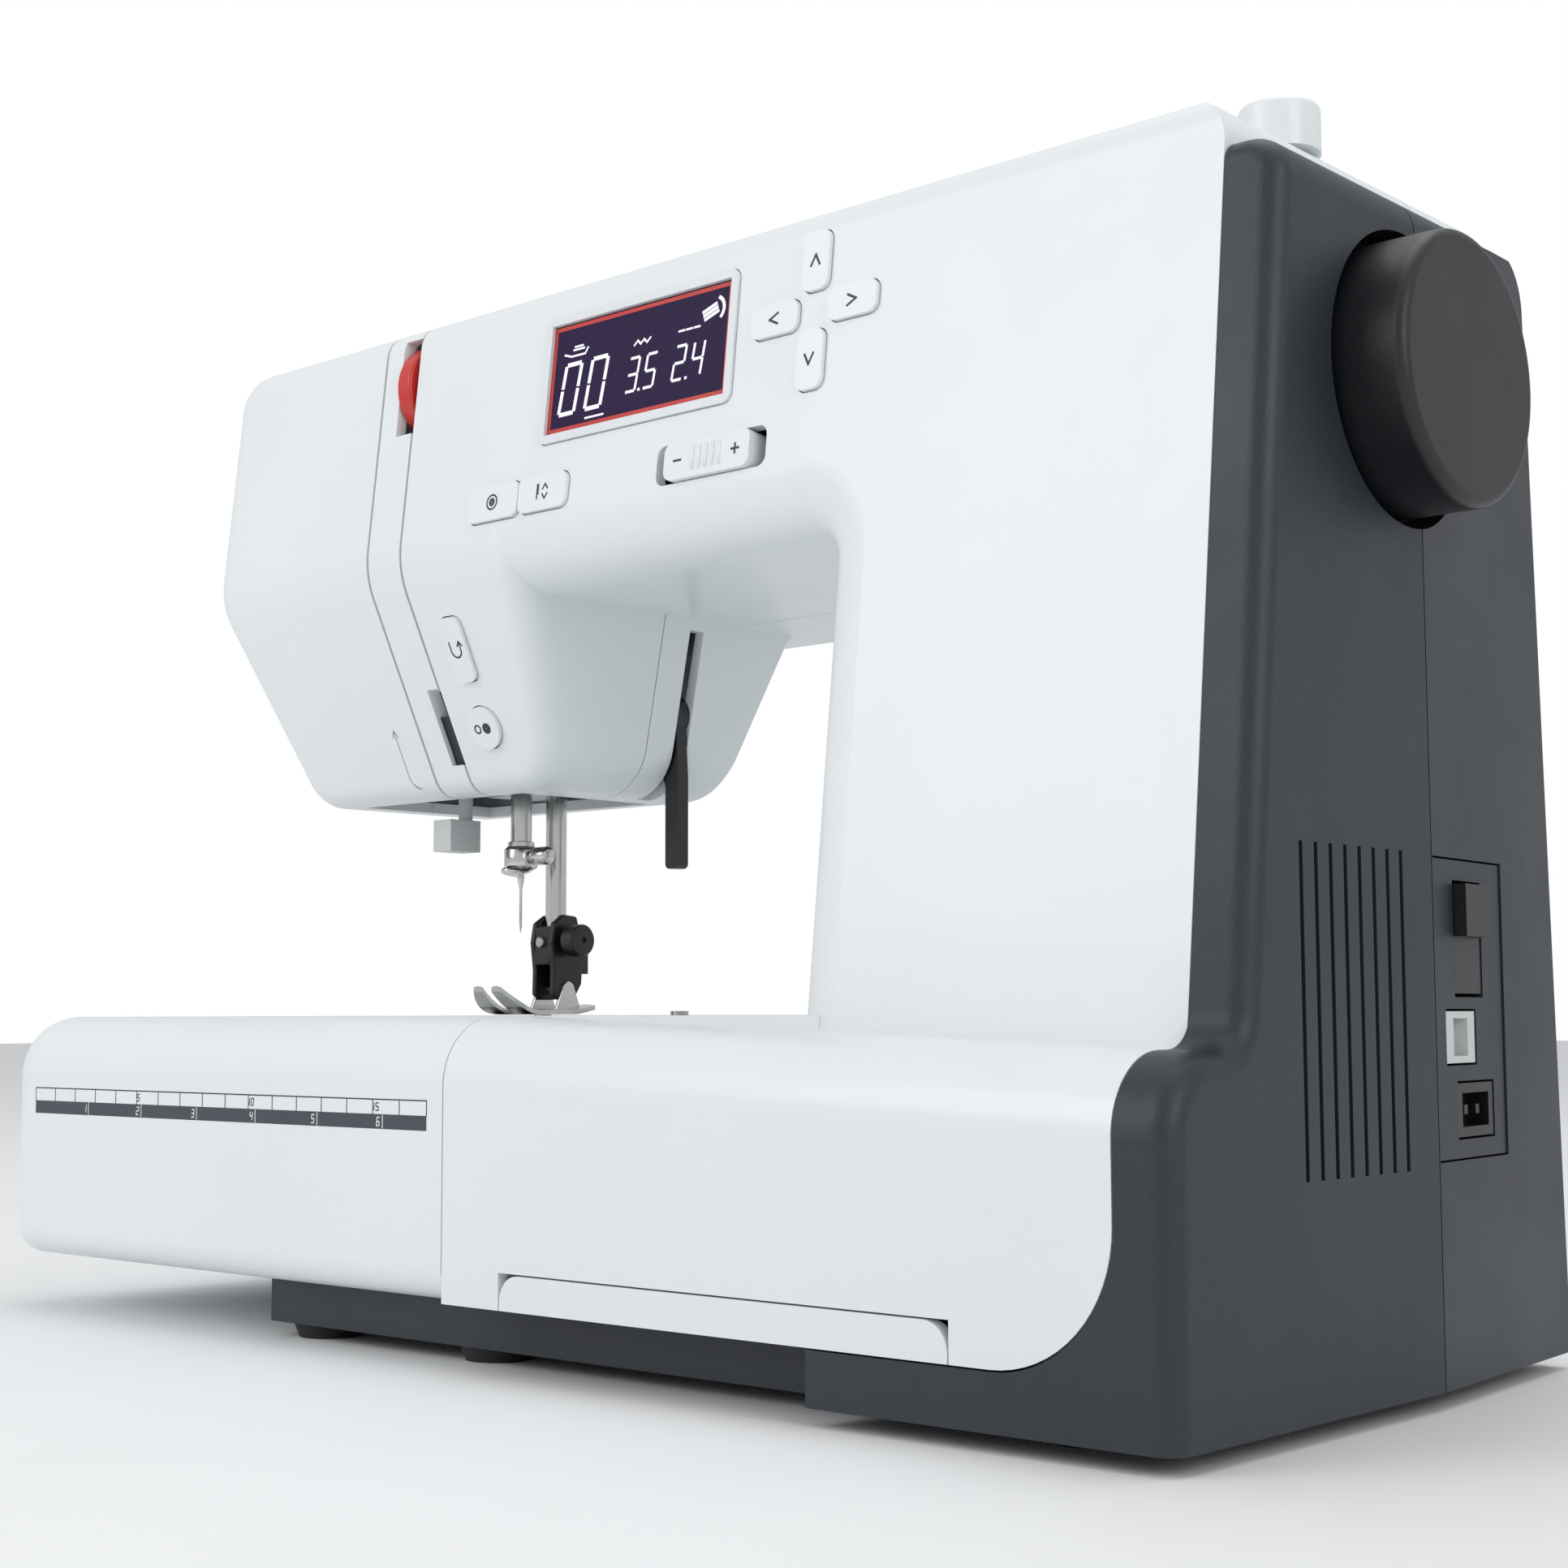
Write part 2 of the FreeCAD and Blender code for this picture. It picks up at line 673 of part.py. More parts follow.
def key_block(name, maker, x0, x1, z0, z1, grow, proud, deep, corner=key_corner):
    """A rounded key let into a face; a grown and deepened one is the cutter for its hole."""
    block = maker(name, x0 - grow, x1 + grow, z0 - grow, z1 + grow, -term(proud), deep)
    return rounded(name, block, corner + grow, corner_edges(block))


def start_disc(name, radius, proud, deep):
    """The round start and stop key, square to the head's lower face."""
    angle = math.degrees(math.atan(chin_slope.value))
    stretch = math.sqrt(1 + chin_slope.value ** 2)
    disc = document.addObject("Part::Cylinder", name)
    bind(disc, "Radius", radius)
    bind(disc, "Height", term(proud) + deep)
    return place(disc, start_x, chin_y(start_z) - term(proud) / stretch,
                 start_z - term(proud) * chin_slope / stretch, Rotation(Vector(1, 0, 0), angle - 90))


def make_keys():
    """Eight sprung keys, each a rounded block that stands a little proud of its face."""
    for node, edges in KEYS.items():
        finish(node, key_block(node, *edges, 0, key_proud, key_depth))
    finish("start_stop_button", start_disc("start_stop_button", start_radius, key_proud, key_depth))


def key_holes():
    """The cutters for every opening in the front cover that a key or a display fills."""
    cutters = [key_block(f"{node}_hole", *edges, key_gap, 5, 20) for node, edges in KEYS.items()]
    cutters.append(start_disc("start_hole", start_radius + key_gap, 5, 20))
    slot = key_block("slider_slot", face_box, slider_left, slider_left + slider_width,
                     pair_low, pair_low + slider_tall, 0, 5, 20)
    window = key_block("display_hole", face_box, display_left, display_left + display_width, display_low,
                       display_low + display_tall, joint_gap / 2, 5, 20)
    return [*cutters, slot, window]


def make_display():
    """The bezel with its clear screen, the speed slider and the circuit board behind them."""
    low, high = display_low, display_low + display_tall
    end = display_left + display_width
    frame = key_block("lcd_bezel", face_box, display_left, end, low, high, 0, 0.8, wall + 1)
    window = face_box("lcd_window", display_left + display_rim, end - display_rim, low + display_rim,
                      high - display_rim, -5, 20)
    finish("lcd_bezel", cut("lcd_bezel", frame, window))
    gap = key_gap / 2
    finish("lcd_screen", face_box("lcd_screen", display_left + display_rim + gap, end - display_rim - gap,
                                  low + display_rim + gap, high - display_rim - gap, 0.2, wall))
    slack = (slider_width - slider_knob) / 2
    knob = key_block("speed_slider", face_box, slider_left + slack, slider_left + slack + slider_knob,
                     pair_low + key_gap, pair_low + slider_tall - key_gap, 0, 1.6, key_depth)
    finish("speed_slider", knob)
    finish("circuit_board", face_box("circuit_board", head_right + 2, column_left + 24, pair_low - 4,
                                     side_top + 2, key_depth + 3, key_depth + 4.6))


# ---------------------------------------------------------------- the dark side and the base
def side_outline(name, inset):
    """The side cover's form: an outline along Y, the front profile along X and the turned rear."""
    start, end = column_right + joint_gap, side_face - inset
    plan = outline_pad(f"{name}_plan", "XZ", [
        (side_foot_left + inset, foot_height - inset),
        (end, foot_height - inset),
        (end, side_top - inset, side_corner - inset),
        (start - inset, side_top - inset),
        (start - inset, lower_edge, skirt_corner + joint_gap),
        (side_foot_left + inset, lower_edge)], front, back)
    profile = outline_pad(f"{name}_side", "YZ", [
        (front + inset, foot_height - inset),
        (front + inset, ledge - inset, bed_round - inset),
        (face_y(ledge) + inset, ledge - inset, inner_corner + inset),
        (face_y(side_top) + inset, side_top - inset),
        (rear_y(side_top) - inset, side_top - inset, rear_round - inset),
        (rear_y(foot_height) - inset, foot_height - inset)], left, right)
    rear_x = side_face - inset - (back - side_seam) * rear_turn
    turned = outline_pad(f"{name}_turned", "XY", [
        (left, front), (side_face - inset, front), (side_face - inset, side_seam), (rear_x, back),
        (left, back)], 0, body_top)
    return common(name, plan, profile, turned)


def make_side_covers():
    """The dark front and rear side covers with the handwheel's well, the vents and the sockets."""
    form = side_outline("side_form", 0)
    edge = side_face.value

    def bead(middle, along):
        """The outer edges of the front bead, all the way up and over the top corner."""
        on_edge = abs(middle.x - edge) < 0.3
        on_top = middle.x > edge - 12 and middle.z > side_top.value - 9
        front_part = middle.y < side_seam.value - 8 and middle.z > foot_height.value + 1
        across = abs(along.x) > 0.99 and middle.z < side_top.value - 1
        return front_part and (on_edge or on_top) and abs(along.y) < 0.999 and not across

    form = rounded("side_form", form, side_bead, bead)
    hollow = outline_pad("side_hollow", "YZ", [
        (front + wall, foot_height - 1),
        (front + wall, ledge - wall, bed_round - wall),
        (face_y(ledge) + wall, ledge - wall, inner_corner + wall),
        (face_y(side_top) + wall + side_bead / 2, side_top - wall - side_bead / 2),
        (rear_y(side_top) - wall * 2, side_top - wall - side_bead / 2),
        (rear_y(foot_height) - wall, foot_height - 1)], side_foot_left + wall, side_face)
    room_x = side_face - 2 * wall
    limit = outline_pad("side_limit", "XY", [
        (left, front), (room_x, front), (room_x, side_seam),
        (room_x - (back - side_seam) * rear_turn, back), (left, back)], -2, body_top)
    hollow = common("side_hollow", hollow, limit)
    foot_way = box("foot_way", side_foot_left - 1, side_foot_left + wall + 1, base_front - joint_gap, back,
                   foot_height - 1, skirt_bottom)
    well_floor = side_face - well_depth
    cup = common("wheel_cup", rod("cup", "x", recess_radius + wall, side_face - column_right - joint_gap,
                                  column_right + joint_gap, shaft_back, shaft_height),
                 side_outline("cup_limit", 0))
    well = rod("well", "x", recess_radius, wheel_stand + wheel_stand, well_floor, shaft_back, shaft_height)
    shaft_hole = rod("shaft_hole", "x", shaft_radius + 1, overall_width, column_left, shaft_back,
                     shaft_height)
    open_form = cut("side_open", form, hollow, foot_way)
    shell = cut("side_shell", fuse("side_shell", open_form, cup), well, shaft_hole)
    ends = term(-1), body_top
    half = joint_gap / 2
    front_part = common("side_cover", shell, box("side_front_zone", left, right, front - 1,
                                                 side_seam - half, *ends))
    vents = [box(f"vent{index}", side_face - 3 * wall, side_face + 1,
                 side_seam - 12.8 - vent_pitch * index - vent_width,
                 side_seam - 12.8 - vent_pitch * index, vent_low, vent_low + vent_tall)
             for index in range(vent_count)]
    finish("side_cover", cut("side_cover", front_part, *vents))
    rear_part = common("side_rear", shell, box("side_rear_zone", left, right, side_seam + half, back + 1,
                                               *ends))
    plate_hole = side_box("plate_hole", 0.5, 0.5 + socket_wide, socket_low, socket_low + socket_tall, -9, 2)
    corner_way = box("corner_way", side_foot_left - 1, column_right + joint_gap, side_seam, back,
                     skirt_bottom - joint_gap, skirt_bottom + skirt_corner + 5)
    finish("side_rear_cover", cut("side_rear_cover", rear_part, plate_hole, corner_way))


def side_box(name, back0, back1, z0, z1, out0, out1):
    """A box on the turned rear side face: distances back from the seam and out of the face."""
    angle = math.degrees(math.atan(rear_turn.value))
    stretch = math.sqrt(1 + rear_turn.value ** 2)
    block = document.addObject("Part::Box", name)
    bind(block, "Length", term(out1) - out0)
    bind(block, "Width", term(back1) - back0)
    bind(block, "Height", term(z1) - z0)
    x = side_face - term(back0) * rear_turn / stretch + term(out0) / stretch
    y = side_seam + term(back0) / stretch + term(out0) * rear_turn / stretch
    return place(block, x, y, z0, Rotation(Vector(0, 0, 1), angle))


def make_sockets():
    """The socket plate with the mains switch, the foot control jack and the mains inlet."""
    edge = term(joint_gap + 0.5)
    plate = side_box("power_plate", edge, socket_wide + 0.5 - joint_gap, socket_low + joint_gap,
                     socket_low + socket_tall - joint_gap, -7, -0.4)
    switch_hole = side_box("switch_hole", 12, 28, switch_low, switch_low + 25, -8, 1)
    jack_hole = side_box("jack_hole", 6.5, 23.5, jack_low, jack_low + 12, -8, 1)
    inlet_hole = side_box("inlet_hole", 12, 33, inlet_low, inlet_low + 12.4, -8, 1)
    finish("power_plate", cut("power_plate", plate, switch_hole, jack_hole, inlet_hole))
    rocker = side_box("rocker", 12.6, 27.4, switch_low + 0.8, switch_low + 24.2, -3.5, -0.6)
    tilt = side_box("rocker_top", 12.6, 27.4, switch_low + 13, switch_low + 24.2, -0.6, 2.4)
    finish("power_switch", fuse("power_switch", rocker, tilt))
    jack = side_box("jack", 7, 23, jack_low + 0.5, jack_low + 11.5, -6.5, -0.6)
    socket = side_box("jack_socket", 11, 19, jack_low + 2, jack_low + 10, -3.5, 1)
    finish("foot_control_jack", cut("foot_control_jack", jack, socket))
    inlet = side_box("inlet", 12.5, 32.5, inlet_low + 0.5, inlet_low + 11.9, -6.5, -0.6)
    well = side_box("inlet_well", 15, 30, inlet_low + 2.6, inlet_low + 9.8, -5.5, 1)
    pins = [side_box(f"pin{place_back}", place_back, place_back + 2, inlet_low + 5.2, inlet_low + 7.2, -6,
                     -1.5) for place_back in (18.2, 24.8)]
    finish("power_inlet", fuse("power_inlet", cut("inlet", inlet, well), *pins))


def make_base():
    """The dark base tray with its rubber feet."""
    floor = wall
    step = side_foot_left - joint_gap
    under_arm = box("base_left", base_left, step, base_front, base_back, foot_height, lower_edge)
    left_room = box("base_room", seam + wall, step + 1, base_front + wall, base_back - wall,
                    foot_height + floor, bed_top)
    closed_room = box("base_closed", base_left + wall, seam, base_front + wall, base_back - wall,
                      foot_height + floor, lower_edge - wall)
    right_floor = box("base_right", step - 1, column_right - wall, base_front, base_back,
                      foot_height, foot_height + floor)
    front_floor = box("base_front", side_foot_left + wall + joint_gap, column_right - wall,
                      front + wall + joint_gap, base_front + 1, foot_height, foot_height + floor)
    rear_wall = box("base_rear", step - 1, column_right - wall, base_back - wall, base_back, foot_height,
                    lower_edge)
    tray = cut("base_left", under_arm, left_room, closed_room)
    finish("base", fuse("base", tray, right_floor, front_floor, rear_wall))
    spots = [(base_left + 12, base_front + 10), (seam - 7, base_front + 10),
             (column_right - 22, base_front + 10), (base_left + 12, base_back - 12),
             (column_right - 22, base_back - 12)]
    finish("feet", group("feet", *[cone(f"foot{index}", "z", 8, 9.5, foot_height, x, y, 0)
                                   for index, (x, y) in enumerate(spots)]))


# ---------------------------------------------------------------- the table and the free arm
def wrap_outline(inset):
    """The slide-on table from above: a U round the free arm, drawn in by an inset."""
    end = seam - joint_gap - inset
    inner_front, inner_back = arm_front - joint_gap - inset, arm_back + joint_gap + inset
    inner_left = free_arm_left - joint_gap - inset
    return [(left + inset, front + inset, table_corner - inset), (end, front + inset), (end, inner_front),
            (inner_left, inner_front, arm_corner + inset), (inner_left, inner_back, arm_corner + inset),
            (end, inner_back), (end, back - inset), (left + inset, back - inset, rear_corner - inset)]


def make_table():
    """The slide-on table: a hollow U, rounded along its outer top edge, with a front tray."""
    body = outline_pad("table", "XY", wrap_outline(term(0)), skirt_bottom, bed_top)

    def outer_rim(middle, along, height):
        inside = arm_front.value - 2 < middle.y < arm_back.value + 2 and \
            middle.x > (free_arm_left - 2).value
        return abs(middle.z - height) < 0.5 and not inside and middle.x < (seam - 2).value \
            and abs(along.z) < 0.1 and not (abs(middle.y - (arm_front - joint_gap).value) < 1
                                            or abs(middle.y - (arm_back + joint_gap).value) < 1)

    top, bottom = bed_top.value, skirt_bottom.value
    rim = rounded("table_top", body, bed_round, lambda middle, along: outer_rim(middle, along, top))
    rim = rounded("table_low", rim, 8, lambda middle, along: outer_rim(middle, along, bottom))
    room = outline_pad("table_room", "XY", wrap_outline(wall), skirt_bottom + wall, bed_top - wall)
    room_top = (bed_top - wall).value
    room = rounded("table_room", room, bed_round - wall,
                   lambda middle, along: outer_rim(middle, along, room_top)
                   and middle.x < (seam - 6).value
                   and not arm_front.value - 8 < middle.y < arm_back.value + 8)
    tray_mouth = box("tray_mouth", needle_x - 40, seam - 20, arm_front - 10, arm_front + 1,
                     skirt_bottom + 9, bed_top - 9)
    slide_path = box("slide_path", needle_x - slide_half - joint_gap, needle_x + slide_half + joint_gap,
                     arm_front - 34, arm_front + 1, bed_top - plate_thick - joint_gap, bed_top + 1)
    finish("slide_on_table", cut("table", rim, room, tray_mouth, slide_path))


def make_free_arm():
    """The free arm, the needle plate let into its top and the slide over the bobbin."""
    def outline(inset, end):
        return [(free_arm_left + inset, arm_front + inset, arm_corner - inset), (end, arm_front + inset),
                (end, arm_back - inset), (free_arm_left + inset, arm_back - inset, arm_corner - inset)]

    block = outline_pad("free_arm", "XY", outline(term(0), seam), free_arm_bottom, bed_top)
    room = outline_pad("free_arm_room", "XY", outline(wall, seam + 1), free_arm_bottom + wall,
                       bed_top - wall)
    plate_left, plate_right = needle_x - plate_half, needle_x + plate_half
    plate_front, plate_back = arm_front + 3.5, arm_back - 4
    low = bed_top - plate_thick
    recess = box("plate_recess", plate_left - joint_gap, plate_right + joint_gap, plate_front - joint_gap,
                 plate_back + joint_gap, low, bed_top + 1)
    hook_room = box("hook_room", needle_x - slide_half + 1, needle_x + slide_half - 1, plate_front + 2,
                    presser_y + 14, free_arm_bottom + 10, bed_top + 1)
    slide_way = box("slide_way", needle_x - slide_half - joint_gap, needle_x + slide_half + joint_gap,
                    arm_front - 1, plate_front, low - joint_gap, bed_top + 1)
    finish("free_arm", cut("free_arm", block, room, recess, hook_room, slide_way))

    plate = box("needle_plate", plate_left, plate_right, plate_front, plate_back, low, bed_top)
    slide_gap = box("slide_gap", needle_x - slide_half - joint_gap, needle_x + slide_half + joint_gap,
                    plate_front - 1, slide_back + joint_gap, low - 1, bed_top + 1)
    needle_slot = rounded("needle_slot", box("needle_slot", needle_x - 4, needle_x + 4, needle_y - 1.2,
                                             needle_y + 1.2, low - 1, bed_top + 1), 1.1, upright("z"))
    slots = [box(f"dog_slot{index}", needle_x + offset - 1.9, needle_x + offset + 1.9, needle_y + front_end,
                 needle_y + back_end, low - 1, bed_top + 1)
             for index, (offset, front_end, back_end) in enumerate(DOGS)]
    finish("needle_plate", cut("needle_plate", plate, slide_gap, needle_slot, *slots))
    slide = box("bobbin_cover", needle_x - slide_half, needle_x + slide_half, plate_front, slide_back,
                low, bed_top)
    finger = cone("finger", "z", 0.5, 4, 1.2, needle_x + 14, plate_front + 6, bed_top - 0.8)
    finish("bobbin_cover", cut("bobbin_cover", slide, finger))
    screws = [rod(f"plate_screw{index}", "z", 2.6, 1.2, x, plate_back - 5, bed_top)
              for index, x in enumerate((plate_left + 6, plate_right - 6))]
    finish("plate_screws", group("plate_screws", *screws))


DOGS = [(-7, -3, 17), (7, -3, 17), (0, 6, 17)]


# ---------------------------------------------------------------- the works
def make_frame():
    """The cast frame: a C-shaped plate with bearing blocks for the shafts and the two bars."""
    back_face = frame_front + frame_thick
    beam = box("beam", needle_x - 26, column_right - 6, frame_front, back_face, shaft_height + 6,
               side_top - 9)
    post = box("post", column_left + 56, column_right - 6, frame_front, back_face, skirt_bottom + 4,
               side_top - 9)
    low_beam = box("low_beam", needle_x - 30, column_right - 6, frame_front, back_face,
                   lower_shaft_z - 10, lower_shaft_z + 20)
    web = box("web", needle_x - 22, needle_x - 13, needle_y + 6, back_face, arm_under + 6, side_top - 9)
    low_web = box("low_web", needle_x - 22, needle_x - 13, needle_y + 6, nape_y - wall - 5,
                  head_bottom + 3.5, arm_under + 7)
    bores = [rod(f"bar_bore{index}", "z", bar_radius + run_gap, overall_width, needle_x, y, 0)
             for index, y in enumerate((needle_y, presser_y))]
    shaft_bore = rod("shaft_bore", "x", shaft_radius + run_gap, overall_width, left, shaft_back,
                     shaft_height)
    lower_bore = rod("lower_bore", "x", lower_shaft_radius + run_gap, overall_width, left, shaft_back,
                     lower_shaft_z)
    foot = box("bar_guide", needle_x - 14, needle_x + 9, needle_y - 7, presser_y + 7,
               head_bottom + 3.5, head_bottom + 11)
    cap = box("bar_cap", needle_x - 14, needle_x + 2.5, needle_y - 7, frame_front + 1,
              shaft_height - 10, shaft_height - 2)
    blocks = [box(f"shaft_block{index}", x, x + 12, shaft_back - 9, frame_front + 1, shaft_height - 10,
                  shaft_height + 12) for index, x in enumerate((needle_x + 22, column_left + 62))]
    low_blocks = [box(f"low_block{index}", x, x + 9, shaft_back - 8, frame_front + 1, lower_shaft_z - 8,
                      lower_shaft_z + 8) for index, x in enumerate((needle_x + 16, column_left + 8))]
    whole = fuse("frame", beam, post, low_beam, web, low_web, foot, cap, *blocks, *low_blocks)
    finish("machine_frame", cut("machine_frame", whole, *bores, shaft_bore, lower_bore))


def racetrack(name, y0, z0, y1, z1, radius, x, wide):
    """A belt's outside: two circles and the strip between them, along X."""
    length = math.hypot((y1 - y0).value, (z1 - z0).value)
    angle = math.degrees(math.atan2((z1 - z0).value, (y1 - y0).value))
    ends = [rod(f"{name}_end{index}", "x", radius, wide, x, y, z)
            for index, (y, z) in enumerate(((y0, z0), (y1, z1)))]
    strip = document.addObject("Part::Box", f"{name}_strip")
    strip.Length, strip.Width = wide.value, length
    bind(strip, "Height", radius * 2)
    turn = Rotation(Vector(1, 0, 0), angle)
    shift = turn.multVec(Vector(0, 0, -radius.value))
    place(strip, x, y0 + shift.y, z0 + shift.z, turn)
    return fuse(name, *ends, strip)


def make_shafts():
    """The upper and lower shafts, the handwheel, the motor, the pulleys and both belts."""
    end = right - wheel_web
    crank_x = needle_x + 6
    shaft = rod("upper_shaft", "x", shaft_radius, end - crank_x - 4, crank_x + 4, shaft_back, shaft_height)
    big_x, small_x = timing_x + belt_wide + 12, timing_x
    discs = [rod("timing_top", "x", pulley_radius, belt_wide, small_x, shaft_back, shaft_height),
             rod("drive_top", "x", pulley_radius + 10, belt_wide, big_x, shaft_back, shaft_height)]
    finish("upper_shaft", fuse("upper_shaft", shaft, *discs))
    disc = rod("crank_disc", "x", stroke / 2 + 5, 5, crank_x, shaft_back, shaft_height)
    bite = box("crank_bite", crank_x - 1, crank_x + 6, shaft_back - 30, shaft_back + 30,
               shaft_height - 30, shaft_height - 9)
    pin = rod("crank_pin", "x", 2.5, 3, crank_x - 2.6, shaft_back, shaft_height + stroke / 2)
    bored = cut("crank", disc, bite)
    finish("crank", fuse("crank", bored, pin))

    rim = rod("wheel_rim", "x", wheel_radius, right - side_face + 6, side_face - 6, shaft_back,
              shaft_height)
    rim = rounded("wheel_rim", rim, 2.5, lambda middle, along: middle.x > right.value - 1)
    hollow = rod("wheel_hollow", "x", wheel_radius - 4, wheel_stand + 6 - 4, side_face - 7, shaft_back,
                 shaft_height)
    hub = rod("wheel_hub", "x", shaft_radius + 5, wheel_stand, side_face - 6, shaft_back, shaft_height)
    seat = rod("wheel_seat", "x", shaft_radius, end - left, left, shaft_back, shaft_height)
    finish("handwheel", cut("handwheel", fuse("handwheel", cut("wheel_body", rim, hollow), hub), seat))

    low_start = needle_x - 12
    low = rod("lower_rod", "x", lower_shaft_radius, timing_x + belt_wide + 4 - low_start, low_start,
              shaft_back, lower_shaft_z)
    low_disc = rod("timing_low", "x", pulley_radius, belt_wide, timing_x, shaft_back, lower_shaft_z)
    gear = rod("shaft_gear", "x", shaft_gear_radius, 12, needle_x - 6, shaft_back, lower_shaft_z)
    finish("lower_shaft", fuse("lower_shaft", low, low_disc, gear))

    motor = rod("motor_can", "x", motor_radius, motor_length, big_x - 14 - motor_length, motor_y, motor_z)
    nose = rod("motor_nose", "x", 7, 4, big_x - 14, motor_y, motor_z)
    bore = rod("motor_bore", "x", 3 + run_gap, 12, big_x - 20, motor_y, motor_z)
    finish("motor", cut("motor", fuse("motor", motor, nose), bore))
    spindle = rod("motor_spindle", "x", 3, 10 + 4 + belt_wide, big_x - 14, motor_y, motor_z)
    cog = rod("motor_cog", "x", motor_pulley_radius, belt_wide, big_x, motor_y, motor_z)
    finish("motor_pulley", fuse("motor_pulley", spindle, cog))

    slack = belt_slack
    timing = cut("timing_belt",
                 racetrack("timing", shaft_back, lower_shaft_z, shaft_back, shaft_height,
                           pulley_radius + slack + belt_thick, timing_x, belt_wide),
                 racetrack("timing_in", shaft_back, lower_shaft_z, shaft_back, shaft_height,
                           pulley_radius + slack, timing_x - 1, belt_wide + 2))
    finish("timing_belt", timing)
    loop_radius = pulley_radius + 10 + slack
    small = motor_pulley_radius + slack
    finish("drive_belt", taper_belt(small, loop_radius, big_x))


def taper_belt(small, large, x):
    """The motor's belt: the hull of a small and a large circle, less the same one belt thinner."""
    def hull(name, grow, start, wide):
        length = math.hypot((shaft_back - motor_y).value, (shaft_height - motor_z).value)
        heading = math.atan2((shaft_height - motor_z).value, (shaft_back - motor_y).value)
        lean = math.asin((large - small).value / length)
        rims = []
        for y, z, radius in ((motor_y, motor_z, small + grow), (shaft_back, shaft_height, large + grow)):
            for side in (1, -1):
                turn = heading + side * (math.pi / 2 + lean)
                rims.append(Vector(start.value, y.value + radius.value * math.cos(turn),
                                   z.value + radius.value * math.sin(turn)))
        corners = [rims[0], rims[2], rims[3], rims[1], rims[0]]
        strip = document.addObject("Part::Feature", name)
        strip.Shape = Part.Face(Part.makePolygon(corners)).extrude(Vector(wide.value, 0, 0))
        ends = [rod(f"{name}_small", "x", small + grow, wide, start, motor_y, motor_z),
                rod(f"{name}_large", "x", large + grow, wide, start, shaft_back, shaft_height)]
        return fuse(name, *ends, strip)

    return cut("drive_belt", hull("drive_out", belt_thick, x, belt_wide),
               hull("drive_in", term(0), x - 1, belt_wide + 2))


def make_hook():
    """The horizontal hook with its gear, the bobbin case and the bobbin."""
    low = lower_shaft_z
    cup_low = low + hook_gear_radius + 8
    cup_top = bed_top - plate_thick - 4
    cup = rod("hook_cup", "z", hook_radius, cup_top - cup_low, needle_x, hook_y, cup_low)
    room = rod("hook_room_in", "z", hook_radius - 1.6, cup_top, needle_x, hook_y, cup_low + 2)
    stem = rod("hook_stem", "z", 3.5, cup_low - low + 6, needle_x, hook_y, low - 5)
    gear = rod("hook_gear", "z", hook_gear_radius, 9, needle_x, hook_y, low - 4.5)
    finish("hook", fuse("hook", cut("hook_cup", cup, room), stem, gear))
    case_radius = hook_radius - 1.6 - key_gap
    case = rod("case", "z", case_radius, cup_top - cup_low - 2.6, needle_x, hook_y, cup_low + 2.3)
    bay = rod("case_bay", "z", bobbin_radius + 0.5, cup_top, needle_x, hook_y, cup_low + 4)
    finish("bobbin_case", cut("bobbin_case", case, bay))
    start = cup_low + 4.3
    spool = [rod("bobbin_low", "z", bobbin_radius, 1, needle_x, hook_y, start),
             rod("bobbin_core", "z", bobbin_radius - 2.5, bobbin_height - 2, needle_x, hook_y, start + 1),
             rod("bobbin_high", "z", bobbin_radius, 1, needle_x, hook_y, start + bobbin_height - 1)]
    hole = rod("bobbin_hole", "z", 3, bobbin_height + 2, needle_x, hook_y, start - 1)
    finish("bobbin", cut("bobbin", fuse("bobbin", *spool), hole))
    dogs = [box(f"dog{index}", needle_x + offset - 1.3, needle_x + offset + 1.3,
                needle_y + front_end + 2.5, needle_y + back_end - 2.5, bed_top - 4, bed_top - 0.4)
            for index, (offset, front_end, back_end) in enumerate(DOGS)]
    bar = box("dog_bar", needle_x - 8.3, needle_x + 8.3, needle_y + 9, needle_y + 14, bed_top - 8,
              bed_top - 3.9)
    finish("feed_dogs", fuse("feed_dogs", *dogs, bar))


